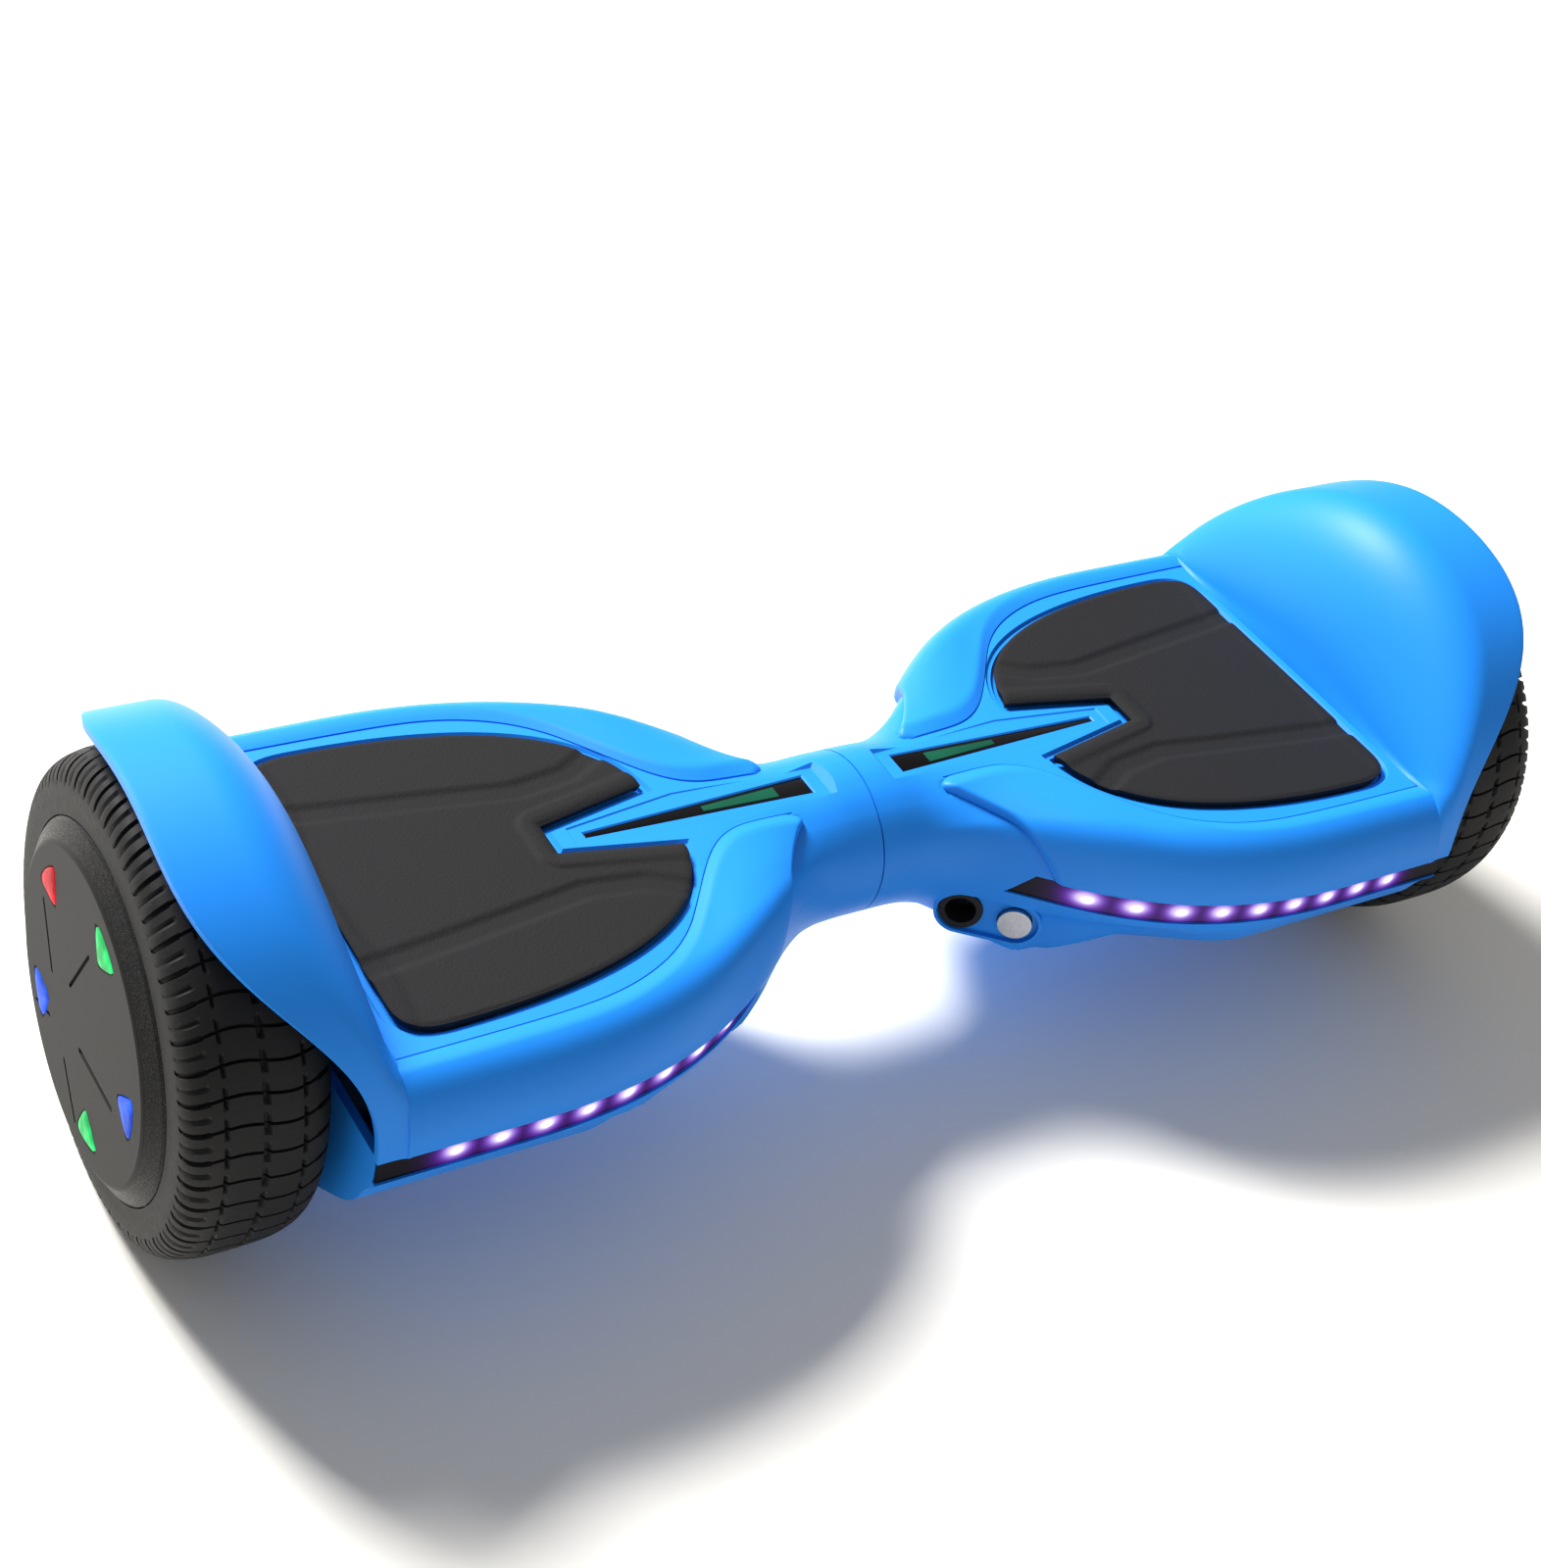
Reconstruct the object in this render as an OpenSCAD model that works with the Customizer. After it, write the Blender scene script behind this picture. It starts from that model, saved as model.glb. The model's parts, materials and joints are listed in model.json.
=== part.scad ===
// Self balancing board: two foot platforms that twist about a round neck,
// each carried by one hub-motor wheel. Millimetres, +Z up, +X to the right,
// -Y to the front. Everything is drawn for the right half and mirrored.

/* [Overall] */
// Length over the two hub covers
overall_l = 580; // [520:1:700]
// Depth of the platforms, front to back
body_w = 187; // [176:1:224]
// Gap between the floor and the lower covers
ground_gap = 36; // [30:1:44]
// Wall of the plastic shells
wall = 3; // [2.5:0.1:3.6]

/* [Wheels] */
// Diameter of the tyres
wheel_d = 168; // [150:1:202]
// Width of the tyres
tyre_w = 49; // [44:1:56]
// Diameter of the rims, where the tyres end
rim_d = 128; // [124:1:132]
// Diameter of the raised flat face of the hub covers
hub_face_d = 112; // [104:1:116]

/* [Platform] */
// Diameter of the round neck
neck_d = 62; // [60:1:66]
// Height of the cover plates above the axle
cover_rise = 28.5; // [27:0.5:32]
// How far the foot mats stand above the cover plates
mat_proud = 2.5; // [2:0.1:3]
// Travel of the foot mats when stood on
mat_travel = 1.5; // [1:0.1:1.8]

/* [Lights] */
// Number of lights in each front strip
light_count = 9; // [5:1:9]
// Spacing of the lights
light_pitch = 15.9; // [12:0.1:15.9]
// Diameter of each light
light_d = 5; // [4:0.1:6]

/* [Controls] */
// Diameter of the power button
button_d = 13; // [12:0.1:13]
// Bore of the charging socket
socket_d = 12; // [10:0.1:12]

/* [Hidden] */
$fn = 48;

body_blue = [0.09, 0.42, 0.93];
rubber_black = [0.07, 0.07, 0.08];
alloy = [0.72, 0.73, 0.75];
steel = [0.6, 0.6, 0.62];
fit = 0.05;      // running clearance on a radius
gap = 0.3;       // clearance between neighbouring pieces
far = 400;       // larger than anything on the board

// Stations along X
hub_x = overall_l / 2;
cover_in_x = hub_x - 7;
tyre_out_x = hub_x - 5;
tyre_in_x = tyre_out_x - tyre_w;
body_end = tyre_in_x - 8;
fender_x = body_end - 9;
mat_end = body_end - 16;
upright_x = body_end - 34;
upright_l = 20;
flare_start = 20;
flare_end = 175;

// Heights and half widths
axle_z = wheel_d / 2;
half_w = body_w / 2;
neck_r = neck_d / 2;
cover_z = axle_z + cover_rise;
mat_z = cover_z + mat_proud;
split_z = axle_z + 4;
strip_z = axle_z - 7;
seam_y = half_w - 16.5;
mat_y = half_w - 25;

// A cubic curve through four control points
function curve(p, t) =
    pow(1 - t, 3) * p[0] + 3 * t * pow(1 - t, 2) * p[1]
    + 3 * t * t * (1 - t) * p[2] + pow(t, 3) * p[3];
function curve_points(p, n, g) = [for (i = [0:n]) curve(p, i / n) - [0, g]];
// A list of points followed by its mirror image across the first axis
function doubled(pts) = concat(pts, [for (i = [len(pts) - 1:-1:0]) [pts[i][0], -pts[i][1]]]);

// Plan of a platform, inset by g and ending at x_end
flare = [[flare_start, neck_r], [60, neck_r + 2.5], [70, half_w], [flare_end, half_w]];
function plan(g, x_end) = doubled(concat(curve_points(flare, 18, g), [[x_end, half_w - g]]));

// Section of a platform across Y and Z, inset by g: the upper half width of each point
function section_side(g) = [
    [half_w - 42 - g, ground_gap + g],
    [half_w - 34 - g, ground_gap + 4.6 + g],
    [half_w - 12.5 - g, axle_z - 28 + g / 2],
    [half_w - 6 - g, axle_z - 14],
    [half_w - g, strip_z],
    [half_w - g, cover_z - 18],
    [half_w - 1.5 - g, cover_z - 11],
    [half_w - 5 - g, cover_z - 4 - g / 2],
    [half_w - 10 - g, cover_z + 1 - g],
    [half_w - 15 - g, cover_z + 1.8 - g],
    [half_w - 21 - g, cover_z - g]
];
function section(g) = concat(
    section_side(g),
    [for (i = [10:-1:0]) [-section_side(g)[i][0], section_side(g)[i][1]]]);

// Side view of a platform: the bottom climbs to the neck
function side_view(g, x_end) = [
    [30 + g, axle_z - neck_r + g], [78 + g, ground_gap + g], [x_end, ground_gap + g],
    [x_end, cover_z + 10], [30 + g, cover_z + 10]
];

// Line along which a side panel meets the upper cover
seam = [[24, 18], [58, 40], [88, seam_y], [150, seam_y]];
function panel_plan(g) = concat(
    curve_points(seam, 12, -g), [[far, seam_y + g], [far, far], [24, far]]);

// Outline of a foot mat, grown by g, with a notch towards the neck
mat_side = [[81, 16], [86, half_w - 41.5], [130, mat_y], [mat_end - 17, mat_y + 0.5]];
mat_corner = [[mat_end - 17, mat_y + 0.5], [mat_end - 5, mat_y + 0.5],
    [mat_end, mat_y - 3], [mat_end, mat_y - 14]];
function mat_half(g) = concat(
    [[126 - g, 7 - g], [81 - g, 16 - g / 2]],
    [for (i = [1:12]) let (p = curve(mat_side, i / 12)) p + g * [-1 + i / 12, 0.5 + i / 24]],
    [for (i = [1:5]) let (p = curve(mat_corner, i / 5)) p + g * [i / 5, 1 - i / 10]]);
function mat_outline(g) = doubled(mat_half(g));

// Fender: a dome that starts as the platform's section and ends as an arch
fender_r = wheel_d / 2 + 11;
fender_low = asin((split_z + 0.4 - axle_z) / min(half_w, fender_r));
fender_rise = hub_x - 9 - (body_end + 1);
function fender_phi(j, n) = fender_low + (180 - 2 * fender_low) * j / n;
function box_r(phi) = min(cover_rise / max(sin(phi), 0.01), half_w / max(abs(cos(phi)), 0.01));
function fender_u(phi) =
    max(0, min(1, (fender_r * sin(phi) - 3) / (fender_r - 3)));
function fender_edge(phi) = body_end + 1 + fender_rise * pow(sin(90 * fender_u(phi)), 3);
function fender_crest(phi) = fender_x + (fender_edge(phi) - fender_x) * 0.6;
function fender_point(s, phi, g) = let (
    dome = min(1, s / 0.7),
    x = s < 0.7
        ? fender_x + (fender_crest(phi) - fender_x) * (1 - cos(90 * dome)) + g * (1 - dome)
        : fender_crest(phi) + (fender_edge(phi) - fender_crest(phi)) * (s - 0.7) / 0.3,
    r = box_r(phi) + (fender_r - box_r(phi)) * sin(90 * dome) - g
) [x, -r * cos(phi), axle_z + r * sin(phi)];

// Gem lenses: angle of each one on the hub cover
gem_r = 46;
function gem_angle(i) = 39 + 72 * i;

module along_x(x0, x1) {
    translate([x0, 0, 0]) rotate([90, 0, 90]) linear_extrude(x1 - x0) children();
}
module along_y(y0, y1) {
    translate([0, y1, 0]) rotate([90, 0, 0]) linear_extrude(y1 - y0) children();
}
module x_rod(r, x0, x1) {
    translate([x0, 0, axle_z]) rotate([0, 90, 0]) cylinder(r = r, h = x1 - x0);
}
module x_ring(r_out, r_in, x0, x1) {
    difference() {
        x_rod(r_out, x0, x1);
        x_rod(r_in, x0 - 1, x1 + 1);
    }
}
module left() {
    mirror([1, 0, 0]) children();
}
module both_sides() {
    children();
    mirror([0, 1, 0]) children();
}

// A platform and its half of the neck, inset by g
module body_block(g, x_end) {
    intersection() {
        linear_extrude(far) polygon(plan(g, x_end));
        along_x(0, x_end) polygon(section(g));
        along_y(-far, far) polygon(side_view(g, x_end));
    }
}
module shell(x_end) {
    difference() {
        union() {
            body_block(0, x_end);
            x_rod(neck_r, gap, 45);
        }
        body_block(wall, x_end - wall);
        x_rod(neck_r - wall, -1, 46);
    }
}
module above(z) {
    translate([-far, -far, z]) cube([2 * far, 2 * far, far]);
}
module below(z) {
    translate([-far, -far, z - far]) cube([2 * far, 2 * far, far]);
}

// The region of a side panel: outside the seam, beyond a slanted end
module panel_zone(g) {
    intersection() {
        linear_extrude(far) polygon(panel_plan(g));
        along_y(0, far) polygon([
            [26 + g, cover_z + 4], [62 + g, split_z - 1], [far, split_z - 1], [far, cover_z + 4]
        ]);
    }
}
// Half width of the status window: blunt towards the neck, narrow at the other end
window_x0 = 20;
window_x1 = 112;
bar_x0 = 30;
bar_x1 = 68;
function wedge_y(x) = 4.5 - 3.5 * (x - window_x0) / (window_x1 - window_x0);
module window_wedge(g, x0, x1, z0, z1) {
    translate([0, 0, z0]) linear_extrude(z1 - z0) polygon([
        [x0 - g, -wedge_y(x0) - g], [x1 + g, -wedge_y(x1) - g],
        [x1 + g, wedge_y(x1) + g], [x0 - g, wedge_y(x0) + g]
    ]);
}

board_z = cover_z - 16.5;
tray_z = mat_z - 5.8;
peg_at = [[150, 44], [150, -44]];
post_at = [[128, 30], [128, -30], [172, 30], [172, -30]];

module upper_cover() {
    color(body_blue) difference() {
        union() {
            intersection() {
                shell(fender_x);
                above(split_z);
            }
            translate([0, 0, tray_z - 2.6])
                linear_extrude(cover_z - tray_z + 2.6) polygon(mat_outline(4.5));
            for (p = post_at) translate([p[0], p[1], board_z + 1.6])
                cylinder(r = 3, h = tray_z - board_z - 3);
        }
        both_sides() panel_zone(0);
        // step round the mat, then the pocket that it sinks into
        translate([0, 0, cover_z - 1.6]) linear_extrude(9) polygon(mat_outline(3));
        translate([0, 0, tray_z]) linear_extrude(9) polygon(mat_outline(0.6));
        for (p = peg_at) translate([p[0], p[1], tray_z - 9]) cylinder(r = 5, h = 12);
        window_wedge(0.15, window_x0, window_x1, cover_z - 3.2, cover_z + 9);
        // flat on top of the neck, round the window
        translate([13, -9, cover_z]) cube([40, 18, 9]);
        x_rod(14, fender_x - 9, fender_x + 1);
    }
}

// Power button and charging socket: a recess in the front flank, between neck and platform.
// Pieces there are drawn with the flank as their floor, +Z going into the body.
control_x = 47;
control_z = axle_z - 22;
control_turn = 52;
button_s = -10.5;
port_s = 10.5;
port_l = 14;
module on_flank(s) {
    translate([control_x, -flare_y(control_x), control_z]) rotate([0, 90, control_turn])
        translate([0, s, 0]) children();
}
module control_oval(r, z0, z1) {
    for (s = [port_s, button_s]) on_flank(s) translate([0, 0, z0]) cylinder(r = r, h = z1 - z0);
    on_flank(button_s) translate([-r, 0, z0]) cube([2 * r, port_s - button_s, z1 - z0]);
}

screw_at = [[96, 26], [96, -26], [upright_x - 12, 26], [upright_x - 12, -26]];
plate_z = ground_gap + 8;
module lower_cover(controls) {
    color(body_blue) difference() {
        union() {
            intersection() {
                shell(body_end);
                below(split_z - 0.1);
            }
            for (p = screw_at) translate([p[0], p[1], ground_gap + 1])
                cylinder(r = 6, h = plate_z - ground_gap - 1);
            if (controls) {
                control_oval(10.8, 0.5, 9);
                on_flank(port_s) translate([0, 0, 0.5])
                    cylinder(r = socket_d / 2 + 3.5, h = port_l + 3);
            }
        }
        // opening that the light strip closes
        difference() {
            translate([51.5, -far, strip_z]) cube([far, far, 20]);
            linear_extrude(far) polygon(plan(6, far));
        }
        for (p = screw_at) translate([p[0], p[1], ground_gap - 1]) {
            cylinder(r = 4.2, h = 4);
            cylinder(r = 2.2, h = 20);
        }
        x_rod(14, body_end - 9, body_end + 1);
        if (controls) {
            control_oval(9, -12, 3);
            on_flank(button_s) translate([0, 0, 2]) cylinder(r = button_d / 2 + gap, h = 12);
            on_flank(port_s) translate([0, 0, 2])
                cylinder(r = socket_d / 2 + 2.5, h = port_l + 0.2);
        }
    }
}

module panel() {
    color(body_blue) intersection() {
        shell(fender_x);
        above(split_z);
        panel_zone(0.2);
    }
}
module front_panel() {
    mirror([0, 1, 0]) panel();
}

fender_n = 22;
fender_s = [0, 0.1, 0.2, 0.3, 0.4, 0.5, 0.6, 0.7, 0.85, 1];
module fender() {
    ns = len(fender_s);
    ring = fender_n + 1;
    layer = ns * ring;
    points = [for (g = [0, wall]) for (s = fender_s) for (j = [0:fender_n])
        fender_point(s, fender_phi(j, fender_n), g)];
    skin = [for (k = [0, 1]) for (i = [0:ns - 2]) for (j = [0:fender_n - 1])
        let (a = k * layer + i * ring + j, q = [a, a + 1, a + 1 + ring, a + ring])
        k == 0 ? q : [q[3], q[2], q[1], q[0]]];
    ends = [for (i = [0, ns - 1]) for (j = [0:fender_n - 1])
        let (a = i * ring + j, q = [a, a + layer, a + layer + 1, a + 1])
        i == 0 ? q : [q[3], q[2], q[1], q[0]]];
    feet = [for (j = [0, fender_n]) for (i = [0:ns - 2])
        let (a = i * ring + j, q = [a, a + ring, a + ring + layer, a + layer])
        j == 0 ? q : [q[3], q[2], q[1], q[0]]];
    color(body_blue) polyhedron(points, concat(skin, ends, feet));
}

module foot_mat() {
    color(rubber_black) union() {
        translate([0, 0, tray_z + mat_travel + 0.2])
            linear_extrude(mat_z - tray_z - mat_travel - 0.2) polygon(mat_outline(0));
        for (p = peg_at) translate([p[0], p[1], board_z + 7.8])
            cylinder(r = 4, h = mat_z - board_z - 9.8);
    }
}

module status_window() {
    color([0.02, 0.02, 0.03]) difference() {
        window_wedge(0, window_x0, window_x1, cover_z - 3, cover_z - 0.8);
        window_wedge(-1.1, bar_x0, bar_x1, cover_z - 1.8, cover_z + 2);
    }
}
module status_light() {
    color([0.15, 0.7, 0.45]) window_wedge(-1.2, bar_x0, bar_x1, cover_z - 1.7, cover_z - 0.6);
}

function light_x(i) = body_end - 27.5 - light_pitch * i;
// How far the front edge stands from the middle at x, found on the flare's curve
function flare_t(x, lo = 0, hi = 1, n = 16) = n == 0 ? (lo + hi) / 2
    : let (m = (lo + hi) / 2) curve(flare, m)[0] < x ? flare_t(x, m, hi, n - 1)
    : flare_t(x, lo, m, n - 1);
function flare_y(x) = x >= flare_end ? half_w : curve(flare, flare_t(x))[1];

module light_strip() {
    color([0.1, 0.04, 0.16]) difference() {
        intersection() {
            translate([0, 0, strip_z + 0.3]) linear_extrude(split_z - strip_z - 0.6)
                polygon(plan(2, body_end - 0.5));
            translate([52, -far, 0]) cube([far, far - 20, far]);
        }
        linear_extrude(far) polygon(plan(5.6, far));
        for (i = [0:light_count - 1])
            translate([light_x(i), 0, axle_z - 1.5]) rotate([90, 0, 0])
                cylinder(r = light_d / 2, h = far);
    }
}
module leds() {
    color("white") for (i = [0:light_count - 1])
        translate([light_x(i), -flare_y(light_x(i)) + 5.4, axle_z - 1.5]) rotate([90, 0, 0])
            cylinder(r = light_d / 2 - 0.1, h = 3.6);
}

// Cast frame: floor plate, rails, web, sleeve round the pivot and axle block
frame_y = 40;
sleeve_r = 20;
tube_r = 14;
module frame(bore_r) {
    color(alloy) difference() {
        union() {
            translate([78, -frame_y, plate_z]) cube([upright_x + upright_l - 78, 2 * frame_y, 4]);
            for (y = [-frame_y, frame_y - 4]) translate([84, y, plate_z])
                cube([upright_x - 84, 4, 14]);
            along_y(-12, 12) polygon([
                [34, axle_z], [34, axle_z - 22], [78, plate_z], [84, plate_z],
                [84, plate_z + 8], [62, axle_z - 22], [62, axle_z]
            ]);
            x_rod(sleeve_r, 8, 62);
            translate([upright_x, -24, plate_z]) cube([upright_l, 48, axle_z - plate_z]);
        }
        x_rod(bore_r, 7, 63);
        x_rod(9, upright_x - 1, upright_x + upright_l + 1);
        for (p = clamp_at) translate([p[0], p[1], axle_z - 16]) cylinder(r = 2.5, h = 30);
        for (p = screw_at) translate([p[0], p[1], plate_z - 1]) cylinder(r = 2, h = 6);
    }
}
clamp_at = [for (x = [5, 15]) for (y = [-17, 17]) [upright_x + x, y]];
clamp_top = axle_z + 16;
module axle_clamp() {
    color(alloy) difference() {
        translate([upright_x, -24, axle_z + 0.2]) cube([upright_l, 48, clamp_top - axle_z - 0.2]);
        x_rod(9, upright_x - 1, upright_x + upright_l + 1);
        for (p = clamp_at) translate([p[0], p[1], axle_z - 1]) cylinder(r = 2.5, h = 30);
    }
}
module screws() {
    color(steel) {
        for (p = clamp_at) translate([p[0], p[1], 0]) {
            translate([0, 0, axle_z - 14]) cylinder(r = 2.4, h = clamp_top - axle_z + 15);
            translate([0, 0, clamp_top]) cylinder(r = 4, h = 4);
        }
        for (p = screw_at) translate([p[0], p[1], 0]) {
            translate([0, 0, ground_gap + 0.4]) cylinder(r = 4, h = 2.6);
            translate([0, 0, ground_gap + 2]) cylinder(r = 1.9, h = plate_z - ground_gap + 1.8);
        }
    }
}
module sensor_board() {
    color([0.05, 0.35, 0.2]) union() {
        translate([120, -52, board_z]) cube([60, 104, 1.6]);
        for (p = peg_at) translate([p[0] - 6, p[1] - 5, board_z + 1]) cube([12, 10, 4.8]);
        translate([144, -6, board_z - 2]) cube([12, 12, 3]);
    }
}

// Wheel: fixed axle and stator, turning rim, tyre and covers
axle_end = hub_x - 11;
module axle() {
    color(steel) union() {
        x_rod(9, upright_x - 2, axle_end);
        x_rod(12, tyre_in_x - 6, tyre_in_x - 4);
    }
}
slots = 18;
module stator() {
    color([0.72, 0.42, 0.2]) difference() {
        union() {
            x_rod(53.8, hub_x - 42, hub_x - 22);
            x_rod(44, hub_x - 46, hub_x - 19.5);
        }
        x_rod(9, hub_x - 60, hub_x);
        for (i = [0:slots - 1]) translate([hub_x - 50, 0, axle_z]) rotate([i * 360 / slots, 0, 0])
            translate([0, 46, -1.5]) cube([40, 20, 3]);
        x_ring(30, 18, hub_x - 60, hub_x - 38);
    }
}
module tyre() {
    w = tyre_w;
    r = wheel_d / 2;
    color(rubber_black) translate([tyre_in_x, 0, axle_z]) rotate([0, 90, 0]) rotate_extrude()
        polygon([
            [rim_d / 2, 0], [r - 10, 0], [r - 5, w * 0.04], [r - 2, w * 0.12],
            [r - 0.5, w * 0.24], [r, w * 0.34], [r, w * 0.66], [r - 0.5, w * 0.76],
            [r - 2, w * 0.88], [r - 5, w * 0.96], [r - 10, w], [rim_d / 2, w]
        ]);
}
rim_in_x = tyre_in_x + 4;
module rim() {
    color([0.1, 0.1, 0.11]) difference() {
        x_rod(rim_d / 2, rim_in_x, cover_in_x);
        x_rod(58, rim_in_x - 1, cover_in_x - 4);
        x_rod(18, rim_in_x - 1, cover_in_x + 1);
        for (i = [0:5]) translate([rim_in_x - 1, 0, axle_z]) rotate([i * 60, 0, 0])
            translate([0, 61, 0]) rotate([0, 90, 0]) cylinder(r = 1.6, h = 14);
    }
    color([0.1, 0.1, 0.11]) x_ring(22, 18, cover_in_x - 12, cover_in_x - 3.9);
}
module motor_cover() {
    color([0.15, 0.15, 0.16]) difference() {
        union() {
            x_rod(rim_d / 2 - 0.5, tyre_in_x, rim_in_x);
            x_rod(22, tyre_in_x - 3, tyre_in_x + 6);
        }
        x_rod(18, tyre_in_x - 1, tyre_in_x + 7);
        x_rod(13.5, tyre_in_x - 4, tyre_in_x);
        for (i = [0:5]) translate([tyre_in_x - 1, 0, axle_z]) rotate([i * 60, 0, 0])
            translate([0, 61, 0]) rotate([0, 90, 0]) cylinder(r = 1.6, h = 14);
    }
}
module motor_screws() {
    color(steel) for (i = [0:5]) translate([tyre_in_x, 0, axle_z]) rotate([i * 60, 0, 0])
        translate([0, 61, 0]) rotate([0, 90, 0]) {
            translate([0, 0, -2]) cylinder(r = 2.4, h = 2);
            translate([0, 0, -0.5]) cylinder(r = 1.5, h = 12);
        }
}
magnet_n = 30;
module magnets() {
    color([0.5, 0.5, 0.52]) for (i = [0:magnet_n - 1])
        translate([hub_x - 44, 0, axle_z]) rotate([i * 360 / magnet_n, 0, 0]) rotate([0, 90, 0])
            rotate_extrude(angle = 360 / magnet_n - 1.5)
                translate([54.5, 0]) square([3.4, 24]);
}
module wheel_bearings() {
    color(steel) {
        x_ring(17.98, 9 + fit, tyre_in_x + 0.2, tyre_in_x + 6);
        x_ring(17.98, 9 + fit, axle_end - 8, axle_end);
    }
}
module gem_place(i, depth) {
    translate([0, 0, axle_z]) rotate([gem_angle(i), 0, 0]) translate([hub_x - depth, gem_r, 0])
        rotate([90, 0, 90]) children();
}
// A rounded shield with its point towards the axle, grown by about g
gem_points = [[-10, -1], [-1, -8.5], [1.5, -7.5], [2.5, 0], [1.5, 7.5], [-1, 8.5], [-10, 1]];
gem_mid = [-3, 0];
module gem_outline(g) {
    polygon([for (p = gem_points) gem_mid + (p - gem_mid) * (1 + g / 5)]);
}
module gems(which) {
    for (i = which) gem_place(i, 2) linear_extrude(2.6) gem_outline(0);
}
module hub_cover() {
    face_r = hub_face_d / 2;
    edge_r = rim_d / 2 - 0.5;
    color([0.09, 0.09, 0.1]) difference() {
        translate([cover_in_x, 0, axle_z]) rotate([0, 90, 0]) rotate_extrude() polygon([
            [0, 0], [edge_r, 0], [edge_r, 2], [edge_r - 2, 3.5], [face_r, 7], [0, 7]
        ]);
        for (i = [0:4]) {
            gem_place(i, 2) linear_extrude(5) gem_outline(0.1);
            // narrow groove from the point of each gem, slanting past the axle
            translate([0, 0, axle_z]) rotate([gem_angle(i) - 10, 0, 0])
                translate([hub_x - 0.8, 34, 0]) rotate([-145, 0, 0])
                translate([0, 0, -0.7]) cube([2, 20, 1.4]);
        }
    }
}

// Pivot between the halves: the tube is held by the right frame and turns in the left one
module pivot_tube() {
    color(steel) x_ring(tube_r - 0.02, 10, -68, 62);
}
module pivot_bushes() {
    color([0.75, 0.6, 0.3]) {
        x_ring(16.98, tube_r + fit - 0.02, -22, -10);
        x_ring(16.98, tube_r + fit - 0.02, -60, -48);
    }
}
module retaining_ring() {
    color(steel) x_ring(sleeve_r - 1, tube_r, -66, -63);
}
module battery_pack() {
    color([0.1, 0.25, 0.6]) translate([85, -35, plate_z + 4.1])
        cube([upright_x - 90, 70, 38]);
}
module main_board() {
    board_l = upright_x - 100;
    color([0.05, 0.3, 0.15]) union() {
        translate([90, -32, plate_z + 10]) cube([board_l, 64, 1.6]);
        for (x = [94, 86 + board_l]) for (y = [-28, 28])
            translate([x, y, plate_z + 4]) cylinder(r = 3, h = 7);
        translate([96, -30, plate_z + 11]) cube([12, 60, 14]);
        for (y = [-18, 0, 18]) translate([126, y, plate_z + 11]) cylinder(r = 7, h = 20);
        translate([140, -26, plate_z + 11]) cube([16, 12, 9]);
        translate([140, 14, plate_z + 11]) cube([16, 12, 9]);
    }
}
module power_button() {
    color([0.75, 0.76, 0.78]) on_flank(button_s) {
        translate([0, 0, 0.8]) cylinder(r = button_d / 2, h = 9.2);
        translate([0, 0, 9.4]) cylinder(r = button_d / 2 + 1.6, h = 1.6);
    }
}
module charge_port() {
    color([0.1, 0.1, 0.11]) on_flank(port_s) difference() {
        translate([0, 0, 2]) cylinder(r = socket_d / 2 + 2.4, h = port_l);
        translate([0, 0, 1]) cylinder(r = socket_d / 2, h = 11);
    }
}
module harness() {
    color([0.1, 0.1, 0.1]) x_rod(6, -80, 85);
}

upper_cover();  // right_upper_cover
left() upper_cover();  // left_upper_cover
lower_cover(true);  // right_lower_cover
left() lower_cover(false);  // left_lower_cover
fender();  // right_fender
left() fender();  // left_fender
front_panel();  // right_front_panel
left() front_panel();  // left_front_panel
panel();  // right_back_panel
left() panel();  // left_back_panel
foot_mat();  // right_foot_mat
left() foot_mat();  // left_foot_mat
status_window();  // right_status_window
left() status_window();  // left_status_window
status_light();  // right_status_light
left() status_light();  // left_status_light
light_strip();  // right_light_strip
left() light_strip();  // left_light_strip
leds();  // right_leds
left() leds();  // left_leds
frame(tube_r);  // right_frame
left() frame(17);  // left_frame
axle_clamp();  // right_axle_clamp
left() axle_clamp();  // left_axle_clamp
screws();  // right_screws
left() screws();  // left_screws
sensor_board();  // right_sensor_board
left() sensor_board();  // left_sensor_board
axle();  // right_axle
left() axle();  // left_axle
stator();  // right_stator
left() stator();  // left_stator
tyre();  // right_tyre
left() tyre();  // left_tyre
rim();  // right_rim
left() rim();  // left_rim
motor_cover();  // right_motor_cover
left() motor_cover();  // left_motor_cover
magnets();  // right_magnets
left() magnets();  // left_magnets
hub_cover();  // right_hub_cover
left() hub_cover();  // left_hub_cover
color("red") gems([0]);  // right_red_lens
color("red") left() gems([0]);  // left_red_lens
color("green") gems([1, 3]);  // right_green_lenses
color("green") left() gems([1, 3]);  // left_green_lenses
color("blue") gems([2, 4]);  // right_blue_lenses
color("blue") left() gems([2, 4]);  // left_blue_lenses
wheel_bearings();  // right_wheel_bearings
left() wheel_bearings();  // left_wheel_bearings
motor_screws();  // right_motor_screws
left() motor_screws();  // left_motor_screws
pivot_tube();
pivot_bushes();
retaining_ring();
battery_pack();
left() main_board();
power_button();
charge_port();
harness();
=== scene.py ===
# %% [markdown]
# # A self balancing board, dressed around its CAD frame
# The real board is two plastic platforms joined by a round neck, with a hub-motor wheel at each
# end. Its looks come from soft freeform shells, so most cells here shape a sheet of mesh along
# the board, and the turned and cut parts are modelled with edit-mode tools and Booleans.
# %% Load the frame
import json
import math
import bpy
import numpy as np
from mathutils import Matrix, Vector


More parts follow.
